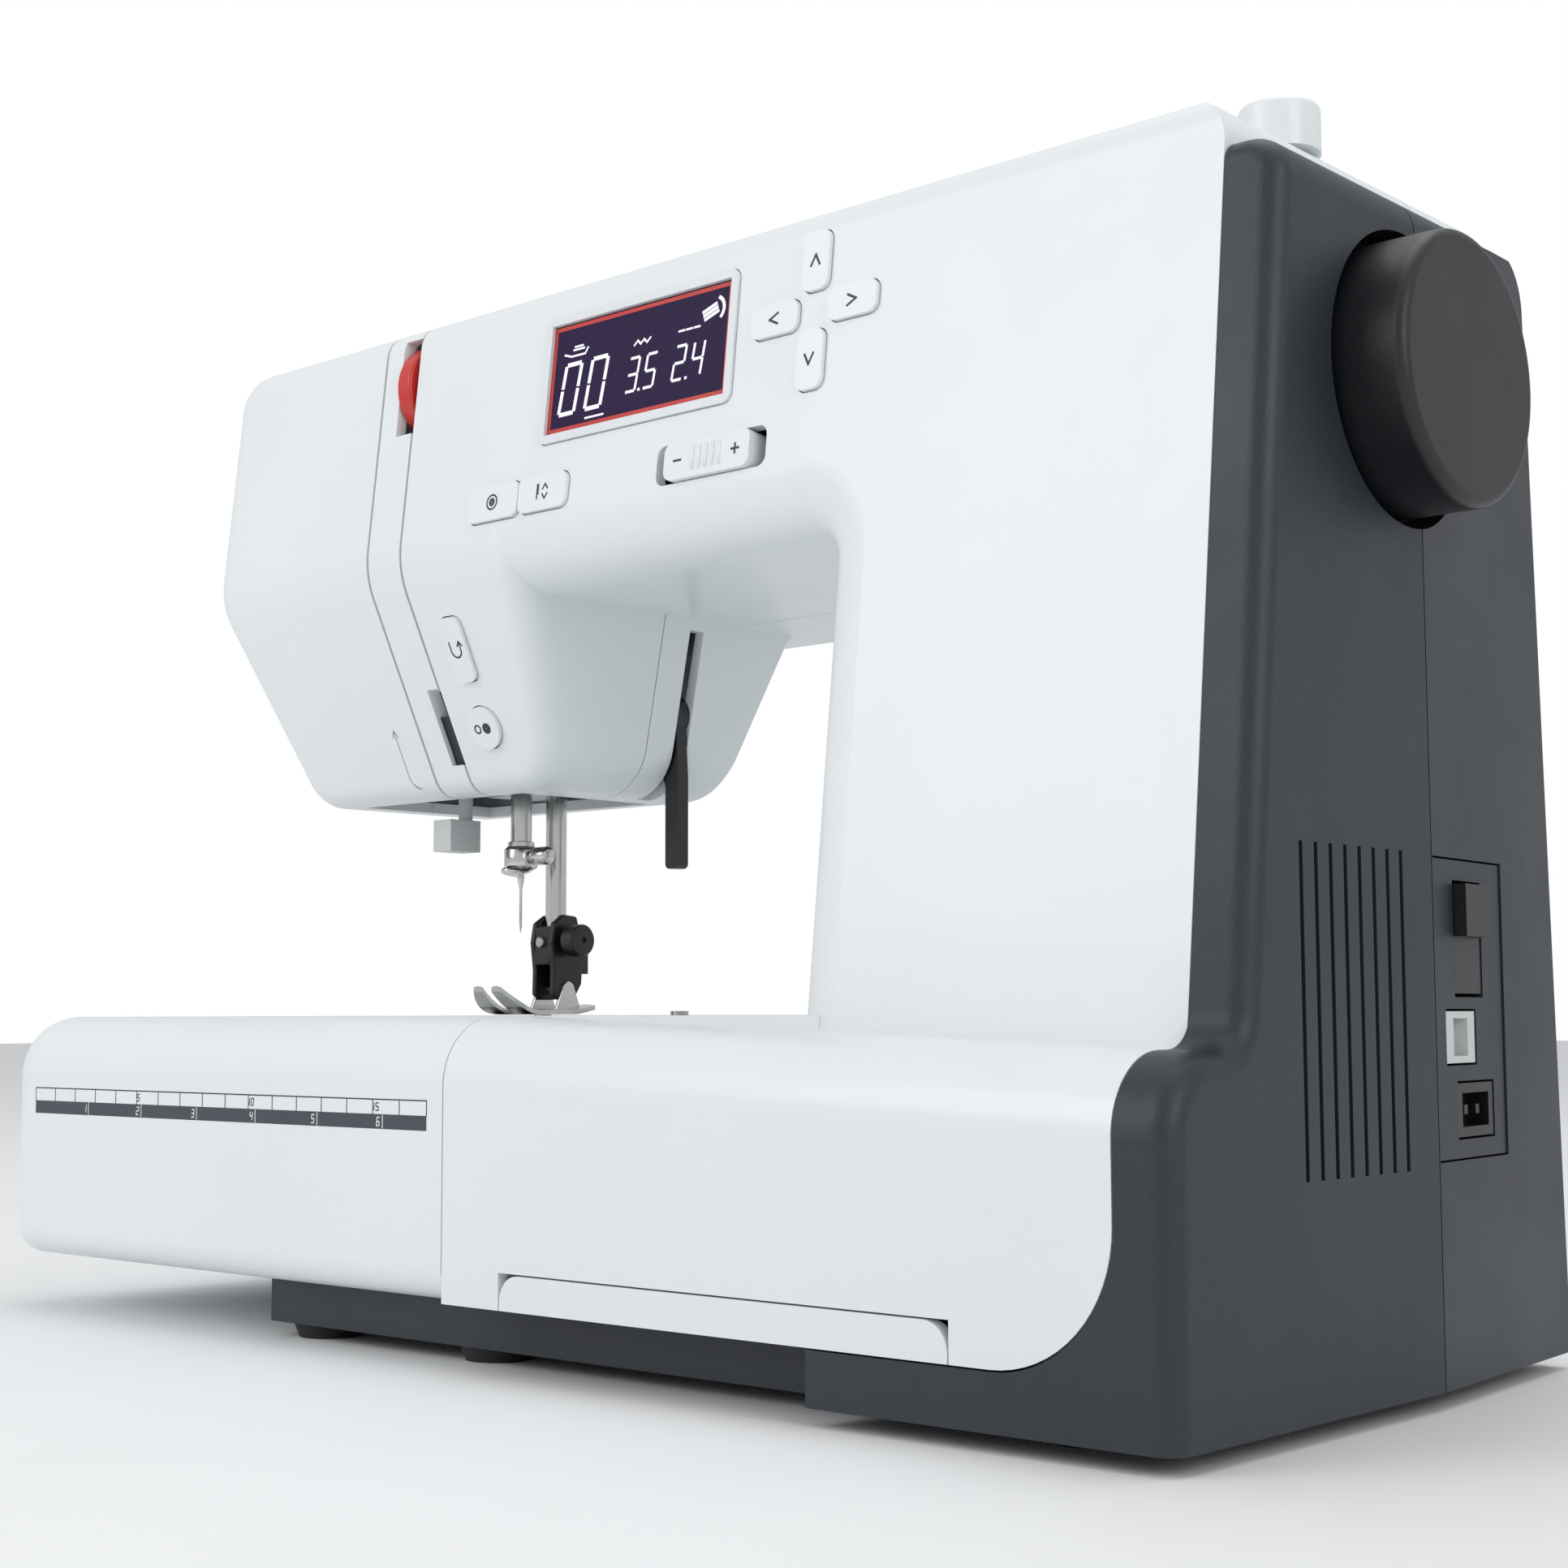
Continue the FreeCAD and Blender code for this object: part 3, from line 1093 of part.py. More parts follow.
# ---------------------------------------------------------------- what hangs from the head
def make_needle_parts():
    """The needle bar with its clamp and needle, its link, the take-up lever and the threader."""
    clamp_low = needle_tip + 17
    finish("needle_bar", rod("needle_bar", "z", bar_radius, shaft_height + 36 - clamp_low - 4, needle_x,
                             needle_y, clamp_low + 4))
    clamp = rod("clamp", "z", 5, 9, needle_x, needle_y, clamp_low)
    screw = rod("clamp_screw", "x", 2.4, 12, needle_x + 2, needle_y, clamp_low + 4.5)
    seat = rod("clamp_seat", "z", bar_radius, 20, needle_x, needle_y, clamp_low + 4)
    shank_hole = rod("shank_hole", "z", 1, 30, needle_x, needle_y, clamp_low - 1)
    finish("needle_clamp", cut("needle_clamp", fuse("clamp", clamp, screw), seat, shank_hole))
    shank = rod("needle_shank", "z", 1, 7, needle_x, needle_y, needle_tip + 14)
    blade = rod("needle_blade", "z", 0.45, 12, needle_x, needle_y, needle_tip + 2.5)
    point = cone("needle_point", "z", 0.1, 0.45, 2.5, needle_x, needle_y, needle_tip)
    finish("needle", cut("needle", fuse("needle", shank, blade, point),
                         rod("above_clamp", "z", 3, 9, needle_x, needle_y, clamp_low + 4)))

    pin_z = shaft_height + stroke / 2
    driver = box("driver", needle_x - 5, needle_x + 5, needle_y - 6, needle_y + 6, pin_z - 46, pin_z - 36)
    hole = rod("driver_hole", "z", bar_radius, 60, needle_x, needle_y, pin_z - 60)
    finish("needle_bar_driver", cut("needle_bar_driver", driver, hole))

    hub = rod("take_up_hub", "x", 5, 5, channel_a + 4, take_up_y, take_up_z)
    hole = rod("take_up_hole", "x", 2.5 + run_gap, 20, channel_a, take_up_y, take_up_z)
    arm = box("take_up_arm", channel_a + 4.8, channel_a + 7, take_up_y - take_up_reach, take_up_y,
              take_up_z - 3, take_up_z + 3)
    eye = rod("take_up_eye", "x", 1.4, 7, channel_a, take_up_y - take_up_reach + 3, take_up_z)
    finish("take_up_lever", cut("take_up_lever", fuse("take_up", hub, arm), hole, eye))

    block = box("threader_block", needle_x - 16, needle_x - 8.5, needle_y - 19, needle_y - 8,
                needle_tip + 23, needle_tip + 32)
    post = rod("threader_post", "z", 2, 60, needle_x - 11.5, needle_y - 11, needle_tip + 31)
    finish("needle_threader", fuse("needle_threader", block, post))


def make_presser_parts():
    """The presser bar, the foot holder with its release lever, the foot and the lifter."""
    top = shaft_height + 36
    holder_low = bed_top + 13
    finish("presser_bar", rod("presser_bar", "z", bar_radius, top - holder_low - 6, needle_x, presser_y,
                              holder_low + 6))
    holder = box("foot_holder", needle_x - 5.5, needle_x + 5.5, presser_y - 5.5, presser_y + 6,
                 holder_low, holder_low + 16)
    ears = [box(f"ear{index}", needle_x + x, needle_x + x + 2, presser_y - 4, presser_y + 6,
                bed_top + 5, holder_low + 1) for index, x in enumerate((-5.5, 3.5))]
    screw = rod("foot_screw", "x", 3.6, 7, needle_x + 5, presser_y, holder_low + 10)
    seat = rod("holder_seat", "z", bar_radius, 40, needle_x, presser_y, holder_low + 6)
    pin_seat = rod("pin_seat", "x", foot_pin + run_gap, 30, needle_x - 15, presser_y, foot_pin_z)
    finish("foot_holder", cut("foot_holder", fuse("foot_holder", holder, *ears, screw), seat, pin_seat))

    sole_half = foot_width / 2
    thick = sole_thick
    toe = outline_pad("foot_side", "YZ", [
        (presser_y - foot_front, bed_top + 6.5), (presser_y - foot_front + 8, sole_z, 6),
        (presser_y, sole_z), (presser_y + foot_rear, sole_z + 1.3),
        (presser_y + foot_rear, sole_z + thick + 0.6), (presser_y + 2, sole_z + thick),
        (presser_y - foot_front + 9, sole_z + thick, 6),
        (presser_y - foot_front, bed_top + 6.5 + thick)], needle_x - sole_half, needle_x + sole_half)
    slot = box("foot_slot", needle_x - 4.4, needle_x + 4.4, needle_y - 3, needle_y + 3, bed_top - 5,
               bed_top + 30)
    gap = box("toe_gap", needle_x - 2, needle_x + 2, needle_y - 30, needle_y, bed_top - 5, bed_top + 30)
    cheeks = [box(f"cheek{index}", needle_x + x, needle_x + x + 1.6, presser_y - 3, presser_y + 3,
                  sole_z + thick - 0.5, foot_pin_z + foot_pin) for index, x in enumerate((-3.1, 1.5))]
    pin = rod("foot_pin", "x", foot_pin, 10.6, needle_x - 5.3, presser_y, foot_pin_z)
    finish("presser_foot", fuse("presser_foot", cut("foot_sole", toe, slot, gap), *cheeks, pin))
    finish("foot_release_lever", box("foot_release", needle_x - 2.6, needle_x + 2.6, presser_y + 7.4,
                                     presser_y + 10.4, holder_low - 1, holder_low + 12))

    pivot = rod("lifter_hub", "y", 6, 5, lifter_x, lifter_y - 2.5, lifter_z)
    arm = outline_pad("lifter_arm", "XZ", [
        (lifter_x - 5, lifter_z), (lifter_x + 1, lifter_z - 20), (lifter_x + 1, lifter_z - lifter_reach, 1.5),
        (lifter_x + 6, lifter_z - lifter_reach, 1.5), (lifter_x + 6, lifter_z - 18),
        (lifter_x + 5, lifter_z)], lifter_y - 2, lifter_y + 2)
    finish("lifter_lever", fuse("lifter_lever", pivot, arm))


# ---------------------------------------------------------------- on top
def make_top():
    """The carrying handle, the bobbin winder, the spool pin and the tension dial."""
    low = handle_z - handle_thick / 2 + 0.5
    grip = box("grip", handle_left, handle_right, handle_pivot_y - handle_reach,
               handle_pivot_y - handle_reach + 15, low, low + handle_thick)
    front_edge = (handle_pivot_y - handle_reach).value
    grip = rounded("grip", grip, 3.5, lambda middle, along: abs(along.x) > 0.99)
    arms = [box(f"handle_arm{index}", x, x + handle_bar, handle_pivot_y - handle_reach + 6,
                handle_pivot_y + 3.5, low, low + handle_thick)
            for index, x in enumerate((handle_left, handle_right - handle_bar))]
    pins = [rod(f"handle_pin{index}", "x", pin_radius, lug_width, x, handle_pivot_y, handle_z)
            for index, x in enumerate((handle_left + handle_bar - 0.5,
                                       handle_right - handle_bar - lug_width + 0.5))]
    finish("handle", fuse("handle", grip, *arms, *pins))

    stem = rod("winder_stem", "z", 2.6, 24, winder_x, winder_y, body_top - 9)
    collar = rod("winder_collar", "z", 5, 1.6, winder_x, winder_y, body_top + 0.6)
    block = rod("winder_block", "z", 5, 4, winder_x, winder_y, body_top - 13)
    finish("winder_spindle", fuse("winder_spindle", stem, collar, block))
    finish("winder_stop", rounded("winder_stop",
           rod("winder_stop", "z", 9, 11, winder_x + 34, winder_y, body_top), 1.5,
           lambda middle, along: middle.z > body_top.value + 9))

    height = body_top + spool_lift
    foot = rod("spool_foot", "z", 6, spool_lift + 3, handle_right + 8, spool_y, body_top)
    pin = rod("spool_rod", "x", pin_radius, 70, handle_right + 8 - 70, spool_y, height)
    finish("spool_pin", fuse("spool_pin", foot, pin))
    cap = rod("spool_disc", "x", 11.5, 3, handle_right - 50, spool_y, height)
    sleeve = rod("spool_sleeve", "x", 6, 9, handle_right - 59, spool_y, height)
    bore = rod("spool_bore", "x", pin_radius + run_gap, 30, handle_right - 65, spool_y, height)
    finish("spool_cap", cut("spool_cap", fuse("spool_cap", cap, sleeve), bore))

    dial_y = face_y(dial_z) + dial_sink
    dial = rod("tension_dial", "x", dial_radius, channel_b - dial_x - 1, dial_x, dial_y, dial_z)
    finish("tension_dial", rounded("tension_dial", dial, 0.8, lambda middle, along: True))


sheet.recompute()
make_white_covers()
make_keys()
make_display()
make_side_covers()
make_sockets()
make_base()
make_table()
make_free_arm()
make_frame()
make_shafts()
make_hook()
make_needle_parts()
make_presser_parts()
make_top()

document.recompute()
failed = [thing.Name for thing in document.Objects if "Invalid" in thing.State or "Error" in thing.State]
if failed:
    raise RuntimeError(f"objects that failed: {failed}")
for node, thing in pieces.items():
    if thing.Shape.isNull() or not thing.Shape.isValid() or not thing.Shape.Solids:
        raise RuntimeError(f"{node} has no valid solid")

os.makedirs("parts", exist_ok=True)
for node, thing in pieces.items():
    thing.Shape.exportStep(f"parts/{node}.step")
print(len(pieces), "pieces written")
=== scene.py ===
# %% [markdown]
# # A sewing machine, dressed round its working frame
#
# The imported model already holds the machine: covers, shafts, keys, needle and presser bar, each in
# its true place. This lesson gives those pieces their finishes and adds what a maker prints or
# grinds on last: the marks on the keys, the figures in the display, the ruler on the table, and the
# small steel parts round the needle. Everything is in metres, with +Z up and -Y towards the person
# who sews.

# %% Load the frame
import math

import bmesh
import bpy
import numpy as np
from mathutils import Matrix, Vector


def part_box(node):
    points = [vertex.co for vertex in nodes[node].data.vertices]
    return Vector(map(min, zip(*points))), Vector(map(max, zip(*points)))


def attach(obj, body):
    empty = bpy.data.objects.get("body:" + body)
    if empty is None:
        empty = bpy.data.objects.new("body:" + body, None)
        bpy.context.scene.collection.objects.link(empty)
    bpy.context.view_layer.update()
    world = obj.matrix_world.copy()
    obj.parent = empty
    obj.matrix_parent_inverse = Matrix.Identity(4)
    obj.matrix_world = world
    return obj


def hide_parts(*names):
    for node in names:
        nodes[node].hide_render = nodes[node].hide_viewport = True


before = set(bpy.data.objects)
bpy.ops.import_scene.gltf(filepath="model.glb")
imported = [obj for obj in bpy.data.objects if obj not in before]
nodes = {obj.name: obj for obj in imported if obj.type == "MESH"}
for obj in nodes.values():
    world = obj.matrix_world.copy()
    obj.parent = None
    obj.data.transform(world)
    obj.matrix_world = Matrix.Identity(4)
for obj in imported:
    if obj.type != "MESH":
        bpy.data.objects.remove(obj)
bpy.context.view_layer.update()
MM = 0.001

# %% [markdown]
# Two faces carry nearly everything the hand touches. The upper face leans back a little, and below
# the bend the chin turns under. Each face is described once, by the direction that is up along it
# and the direction that points out of it, so a printed mark can be drawn flat and laid on either.

# %% The two leaning faces
FACE_SLOPE, CHIN_SLOPE = 0.111, 0.469
RIGHT = Vector((1, 0, 0))
UP = Vector((0, 0, 1))
FACE_UP = Vector((0, FACE_SLOPE, 1)).normalized()
FACE_OUT = RIGHT.cross(FACE_UP)
CHIN_UP = Vector((0, -CHIN_SLOPE, 1)).normalized()
CHIN_OUT = RIGHT.cross(CHIN_UP)


def corners(node):
    """All of a node's points, as one array."""
    points = np.empty(len(nodes[node].data.vertices) * 3)
    nodes[node].data.vertices.foreach_get("co", points)
    return points.reshape(-1, 3)


def front_spot(node, out):
    """The middle of a node's outermost face: its box's centre, pushed out to the furthest point."""
    low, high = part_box(node)
    centre = (low + high) / 2
    reach = float((corners(node) @ np.array(out)).max())
    return centre + out * (reach - centre.dot(out))


print("up key's front at", [round(v, 4) for v in front_spot("arrow_up_button", FACE_OUT)])

# %% [markdown]
# Moulded plastic is never a flat colour. A tool mark leaves a fine, even grain, the sheet wanders a
# little in tone, and dust and handling change how it shines. Those effects are shared by most of
# the finishes here, so each is one node group with its own inputs, placed in every material that
# needs it. The groups put out a number or a colour only, and the shader stays in the material.


# %% Node group helpers
FLOAT, COLOUR = "NodeSocketFloat", "NodeSocketColor"
NOISE_LOW, NOISE_HIGH = 0.3, 0.7


def new_group(name, inputs, outputs):
    """An empty node group with the named float or colour sockets."""
    group = bpy.data.node_groups.new(name, "ShaderNodeTree")
    for label, kind, value in inputs:
        socket = group.interface.new_socket(label, in_out="INPUT", socket_type=kind)
        socket.default_value = value
    for label, kind in outputs:
        group.interface.new_socket(label, in_out="OUTPUT", socket_type=kind)
    return group, group.nodes.new("NodeGroupInput"), group.nodes.new("NodeGroupOutput")


def noise(tree, detail, rough):
    """A noise texture read from the piece's own coordinates, its size left to be linked."""
    place = tree.nodes.new("ShaderNodeTexCoord")
    texture = tree.nodes.new("ShaderNodeTexNoise")
    texture.inputs["Detail"].default_value = detail
    texture.inputs["Roughness"].default_value = rough
    tree.links.new(place.outputs["Object"], texture.inputs["Vector"])
    return texture


def ranged(tree, source, low, high):
    """A map from the middle band of a noise, where nearly all of it lies, to low..high."""
    spread = tree.nodes.new("ShaderNodeMapRange")
    spread.inputs["From Min"].default_value = NOISE_LOW
    spread.inputs["From Max"].default_value = NOISE_HIGH
    for label, value in (("To Min", low), ("To Max", high)):
        if isinstance(value, (int, float)):
            spread.inputs[label].default_value = value
        else:
            tree.links.new(value, spread.inputs[label])
    tree.links.new(source, spread.inputs["Value"])
    return spread.outputs["Result"]


print("noise is read between", NOISE_LOW, "and", NOISE_HIGH)

# %% [markdown]
# Three groups are enough. The first is the fine grain that the tool leaves, as a height. The second
# lets a light and a dark tone drift into each other. The third spreads the roughness between a
# smooth and a dull value, where hands have and have not been.

# %% Moulded grain, tone and shine
grain, grain_in, grain_out = new_group(
    "moulded_grain", [("Size", FLOAT, 900.0), ("Depth", FLOAT, 1.0)], [("Height", FLOAT)])
fine = noise(grain, 4.0, 0.6)
grain.links.new(grain_in.outputs["Size"], fine.inputs["Scale"])
tall = grain.nodes.new("ShaderNodeMath")
tall.operation = "MULTIPLY"
grain.links.new(fine.outputs["Fac"], tall.inputs[0])
grain.links.new(grain_in.outputs["Depth"], tall.inputs[1])
grain.links.new(tall.outputs[0], grain_out.inputs["Height"])

tone, tone_in, tone_out = new_group(
    "uneven_tone", [("Light", COLOUR, (1, 1, 1, 1)), ("Dark", COLOUR, (0.9, 0.9, 0.9, 1)),
                    ("Size", FLOAT, 9.0)], [("Color", COLOUR)])
cloud = noise(tone, 5.0, 0.55)
tone.links.new(tone_in.outputs["Size"], cloud.inputs["Scale"])
blend = tone.nodes.new("ShaderNodeMix")
blend.data_type = "RGBA"
# In this mode the node's inputs 6 and 7 are its two colours, and its output 2 is the blend.
tone.links.new(ranged(tone, cloud.outputs["Fac"], 0.0, 1.0), blend.inputs["Factor"])
tone.links.new(tone_in.outputs["Light"], blend.inputs[6])
tone.links.new(tone_in.outputs["Dark"], blend.inputs[7])
tone.links.new(blend.outputs[2], tone_out.inputs["Color"])

shine, shine_in, shine_out = new_group(
    "handled_shine", [("Smooth", FLOAT, 0.3), ("Dull", FLOAT, 0.45), ("Size", FLOAT, 22.0)],
    [("Roughness", FLOAT)])
smear = noise(shine, 6.0, 0.65)
shine.links.new(shine_in.outputs["Size"], smear.inputs["Scale"])
shine.links.new(ranged(shine, smear.outputs["Fac"], shine_in.outputs["Smooth"],
                       shine_in.outputs["Dull"]), shine_out.inputs["Roughness"])
print("groups:", [g.name for g in bpy.data.node_groups])

# %% [markdown]
# Every finish is the same recipe with other numbers: a light and a dark tone that drift into each
# other, a band of roughness, and a grain that lifts the surface by hundredths of a millimetre. A
# function keeps the recipe in one place, and the values say what each finish is.


# %% One maker for every finish
BUMP_STRENGTH = 0.6


def place_group(tree, group, **values):
    """One of the shared groups in a material, with its own values."""
    node = tree.nodes.new("ShaderNodeGroup")
    node.node_tree = group
    for label, value in values.items():
        node.inputs[label].default_value = value
    return node


def finish(name, light, dark, smooth, dull, metallic=0.0, grain_size=900.0, depth=0.02, coat=0.0,
           tone_size=9.0, shine_size=22.0):
    """A Principled material: colours as linear RGB, roughness from smooth to dull."""
    material = bpy.data.materials.new(name)
    material.use_nodes = True
    tree = material.node_tree
    shader = tree.nodes["Principled BSDF"]
    shader.inputs["Metallic"].default_value = metallic
    shader.inputs["Coat Weight"].default_value = coat
    colour = place_group(tree, tone, Light=(*light, 1), Dark=(*dark, 1), Size=tone_size)
    tree.links.new(colour.outputs["Color"], shader.inputs["Base Color"])
    rough = place_group(tree, shine, Smooth=smooth, Dull=dull, Size=shine_size)
    tree.links.new(rough.outputs["Roughness"], shader.inputs["Roughness"])
    relief = place_group(tree, grain, Size=grain_size, Depth=1.0)
    bump = tree.nodes.new("ShaderNodeBump")
    bump.inputs["Strength"].default_value = BUMP_STRENGTH
    bump.inputs["Distance"].default_value = depth * MM
    tree.links.new(relief.outputs["Height"], bump.inputs["Height"])
    tree.links.new(bump.outputs["Normal"], shader.inputs["Normal"])
    return material


print("finishes share", [g.name for g in (grain, tone, shine)])

# %% [markdown]
# The covers are white ABS with a very fine grain and a slight gloss. The side, the base and the
# handwheel are dark and more deeply grained, so that they hide finger marks. The window is almost
# black with a violet cast, and a low IOR keeps bright reflections off it.

# %% The plastics
white = finish("white_abs", (0.80, 0.835, 0.85), (0.775, 0.81, 0.825), 0.30, 0.40, grain_size=1500,
               depth=0.03, coat=0.12)
white_key = finish("white_key_plastic", (0.83, 0.85, 0.865), (0.80, 0.825, 0.84), 0.26, 0.36,
                   grain_size=1800, depth=0.015, coat=0.1)
anthracite = finish("anthracite_textured", (0.020, 0.026, 0.035), (0.017, 0.022, 0.030), 0.40, 0.50,
                    grain_size=1400, depth=0.13)
wheel_grey = finish("wheel_textured", (0.008, 0.009, 0.012), (0.006, 0.007, 0.009), 0.36, 0.46,
                    grain_size=1700, depth=0.08)
black = finish("black_plastic", (0.012, 0.012, 0.013), (0.008, 0.008, 0.009), 0.30, 0.42,
               grain_size=1600, depth=0.03)
red = finish("red_plastic", (0.60, 0.022, 0.012), (0.52, 0.016, 0.010), 0.25, 0.34,
             grain_size=1500, depth=0.02, coat=0.2)
bezel = finish("bezel_plastic", (0.76, 0.79, 0.81), (0.73, 0.76, 0.78), 0.24, 0.32, grain_size=1500,
               depth=0.02)
socket_white = finish("socket_plastic", (0.62, 0.64, 0.64), (0.56, 0.58, 0.58), 0.3, 0.4)
window = finish("display_window", (0.026, 0.012, 0.058), (0.020, 0.009, 0.046), 0.30, 0.38,
                grain_size=700, depth=0.004)
window.node_tree.nodes["Principled BSDF"].inputs["IOR"].default_value = 1.2
rubber = finish("foot_rubber", (0.018, 0.018, 0.019), (0.012, 0.012, 0.012), 0.62, 0.8,
                grain_size=900, depth=0.08)
board = finish("green_board", (0.012, 0.11, 0.04), (0.010, 0.09, 0.03), 0.3, 0.45)
print("plastics:", len(bpy.data.materials))

# %% [markdown]
# Three metals are seen: ground steel on the needle plate, bright nickel on the bars and the foot,
# and the dull cast alloy of the frame inside. They differ in how far the roughness spreads and in
# how coarse the grain is, since a metal's colour says little by itself.

# %% The metals
steel = finish("ground_steel", (0.56, 0.56, 0.56), (0.46, 0.46, 0.47), 0.22, 0.36, metallic=1.0,
               grain_size=2600, depth=0.02, tone_size=60, shine_size=120)
plated = finish("nickel_plate", (0.66, 0.65, 0.63), (0.55, 0.55, 0.54), 0.12, 0.24, metallic=1.0,
                grain_size=1800, depth=0.01, tone_size=70, shine_size=150)
casting = finish("cast_alloy", (0.46, 0.47, 0.48), (0.36, 0.37, 0.38), 0.45, 0.6, metallic=1.0,
                 grain_size=500, depth=0.2)
print("plastics and metals:", len(bpy.data.materials))

# %% [markdown]
# The ink is a thin skin of paint: dark grey on the keys, pale in the display, and two tones for the
# ruler. Print on an appliance is slightly uneven where the pad pressed, which the shared groups give
# at a small scale.

# %% The inks
ink_dark = finish("dark_ink", (0.030, 0.032, 0.036), (0.045, 0.047, 0.052), 0.45, 0.6, depth=0.005,
                  tone_size=300)
ink_grey = finish("grey_ink", (0.20, 0.21, 0.22), (0.26, 0.27, 0.28), 0.45, 0.6, depth=0.005,
                  tone_size=300)
ink_band = finish("anthracite_ink", (0.040, 0.050, 0.066), (0.050, 0.060, 0.078), 0.4, 0.55,
                  depth=0.005, tone_size=300)
ink_white = finish("white_ink", (0.80, 0.82, 0.83), (0.72, 0.74, 0.75), 0.4, 0.55, depth=0.005,
                   tone_size=300)
lit = finish("lit_segments", (0.86, 0.84, 0.90), (0.80, 0.78, 0.86), 0.3, 0.4, depth=0.002)
glow = lit.node_tree.nodes["Principled BSDF"].inputs
glow["Emission Color"].default_value = (0.85, 0.82, 0.95, 1)
glow["Emission Strength"].default_value = 0.25
print("finishes:", len(bpy.data.materials))

# %% [markdown]
# A CAD node keeps its shape and takes its finish by having its material slots filled. The lists
# below go by what the piece is made of, not by where it sits.

# %% Dress the CAD nodes
FINISHES = [
    (white, "face_cover channel_cover front_cover rear_cover lower_front_panel slide_on_table "
            "free_arm handle winder_stop spool_pin spool_cap speed_slider bobbin"),
    (white_key, "arrow_up_button arrow_down_button arrow_left_button arrow_right_button "
                "thread_cut_button needle_button reverse_button start_stop_button"),
    (anthracite, "side_cover side_rear_cover base power_plate"),
    (wheel_grey, "handwheel"),
    (black, "power_switch power_inlet lifter_lever foot_release_lever bobbin_case foot_holder "
            "winder_spindle"),
    (socket_white, "foot_control_jack needle_threader"),
    (red, "tension_dial"),
    (bezel, "lcd_bezel bobbin_cover"),
    (window, "lcd_screen"),
    (steel, "needle_plate plate_screws upper_shaft crank lower_shaft motor feed_dogs take_up_lever "
            "needle_bar_driver motor_pulley"),
    (plated, "needle_bar needle_clamp needle presser_bar presser_foot hook"),
    (casting, "machine_frame"),
    (board, "circuit_board"),
    (rubber, "timing_belt drive_belt feet"),
]
for material, names in FINISHES:
    for name in names.split():
        data = nodes[name].data
        data.materials.clear()
        data.materials.append(material)
dressed = sum(len(names.split()) for _, names in FINISHES)
print("dressed", dressed, "of", len(nodes))

# %% [markdown]
# Printed marks are drawn as strokes: a list of points in millimetres on an imaginary sheet, and a
# pen width. Each straight piece of a stroke becomes one flat bar with square ends, and the sheet is
# then laid on the machine by a corner, a right and an up direction. All bars of one mark are worked
# out together as arrays. The sheet floats three hundredths of a millimetre above the plastic, as
# ink does.

# %% Strokes laid on a face
INK_LIFT = 0.03 * MM
BAR_STEP = 0.002 * MM


def new_piece(name, points, faces, body, material, smooth=False):
    """A mesh object from arrays, riding on a body and finished with a material."""
    data = bpy.data.meshes.new(name)
    data.from_pydata(np.asarray(points).tolist(), [], np.asarray(faces).tolist())
    data.polygons.foreach_set("use_smooth", np.full(len(data.polygons), smooth))
    data.materials.append(material)
    data.update()
    piece = bpy.data.objects.new(name, data)
    bpy.context.scene.collection.objects.link(piece)
    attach(piece, body)
    return piece


def bars(strokes, width):
    """Corners of one flat bar per straight run: ends pushed out by half a width along the run."""
    starts = np.concatenate([np.array(s[:-1], float) for s in strokes])
    ends = np.concatenate([np.array(s[1:], float) for s in strokes])
    along = ends - starts
    along /= np.linalg.norm(along, axis=1)[:, None]
    side = np.stack([-along[:, 1], along[:, 0]], 1) * width / 2
    cap = along * width / 2
    return np.stack([starts - cap - side, ends + cap - side, ends + cap + side,
                     starts - cap + side], 1).reshape(-1, 2)


def lay(flat, spot, right, up, lift=INK_LIFT):
    """Sheet points in millimetres to places in metres: spot + x right + y up, lifted off."""
    out = right.cross(up)
    base = np.array(spot + out * lift)
    return base + flat[:, :1] * np.array(right) * MM + flat[:, 1:] * np.array(up) * MM


def mark(name, strokes, width, spot, right, up, body, material, lift=INK_LIFT):
    """A printed mark: bars on a face, in four heights so that crossing bars never share one."""
    flat = bars(strokes, width)
    points = lay(flat, spot, right, up, lift)
    step = np.repeat(np.arange(len(flat) // 4) % 4, 4)[:, None] * BAR_STEP
    points = points + step * np.array(right.cross(up))
    faces = np.arange(len(points)).reshape(-1, 4)
    return new_piece(name, points, faces, body, material)


def grid_faces(rows, columns, closed_round=False):
    """Quads that join neighbours on a grid of points, optionally wrapping round its columns."""
    r = np.arange(rows - 1)
    c = np.arange(columns if closed_round else columns - 1)
    r, c = np.meshgrid(r, c, indexing="ij")
    over = (c + 1) % columns
    return np.stack([r * columns + c, r * columns + over, (r + 1) * columns + over,
                     (r + 1) * columns + c], -1).reshape(-1, 4)


def arc(x, y, radius, first, last, count=20):
    """Points round a circle, angles in degrees, anticlockwise."""
    turn = np.radians(np.linspace(first, last, count))
    return np.stack([x + radius * np.cos(turn), y + radius * np.sin(turn)], 1).tolist()


print("a ring has", len(arc(0, 0, 1, 0, 360)), "points")

# %% [markdown]
# Each arrow key carries a small chevron. The same three points are turned by a quarter turn for
# each key. The other keys show what they do: a dot in a ring for the thread cutter, a needle with
# arrows for needle up or down, a U-turn for reverse, and an open and a filled dot for start and stop.

# %% Marks on the keys
KEY_PEN = 0.6
FINE_PEN = 0.48


def turned(strokes, quarter_turns):
    """Strokes turned about the sheet's zero by quarter turns."""
    angle = quarter_turns * math.pi / 2
    turn = np.array([[math.cos(angle), math.sin(angle)], [-math.sin(angle), math.cos(angle)]])
    return [(np.array(s, float) @ turn).tolist() for s in strokes]


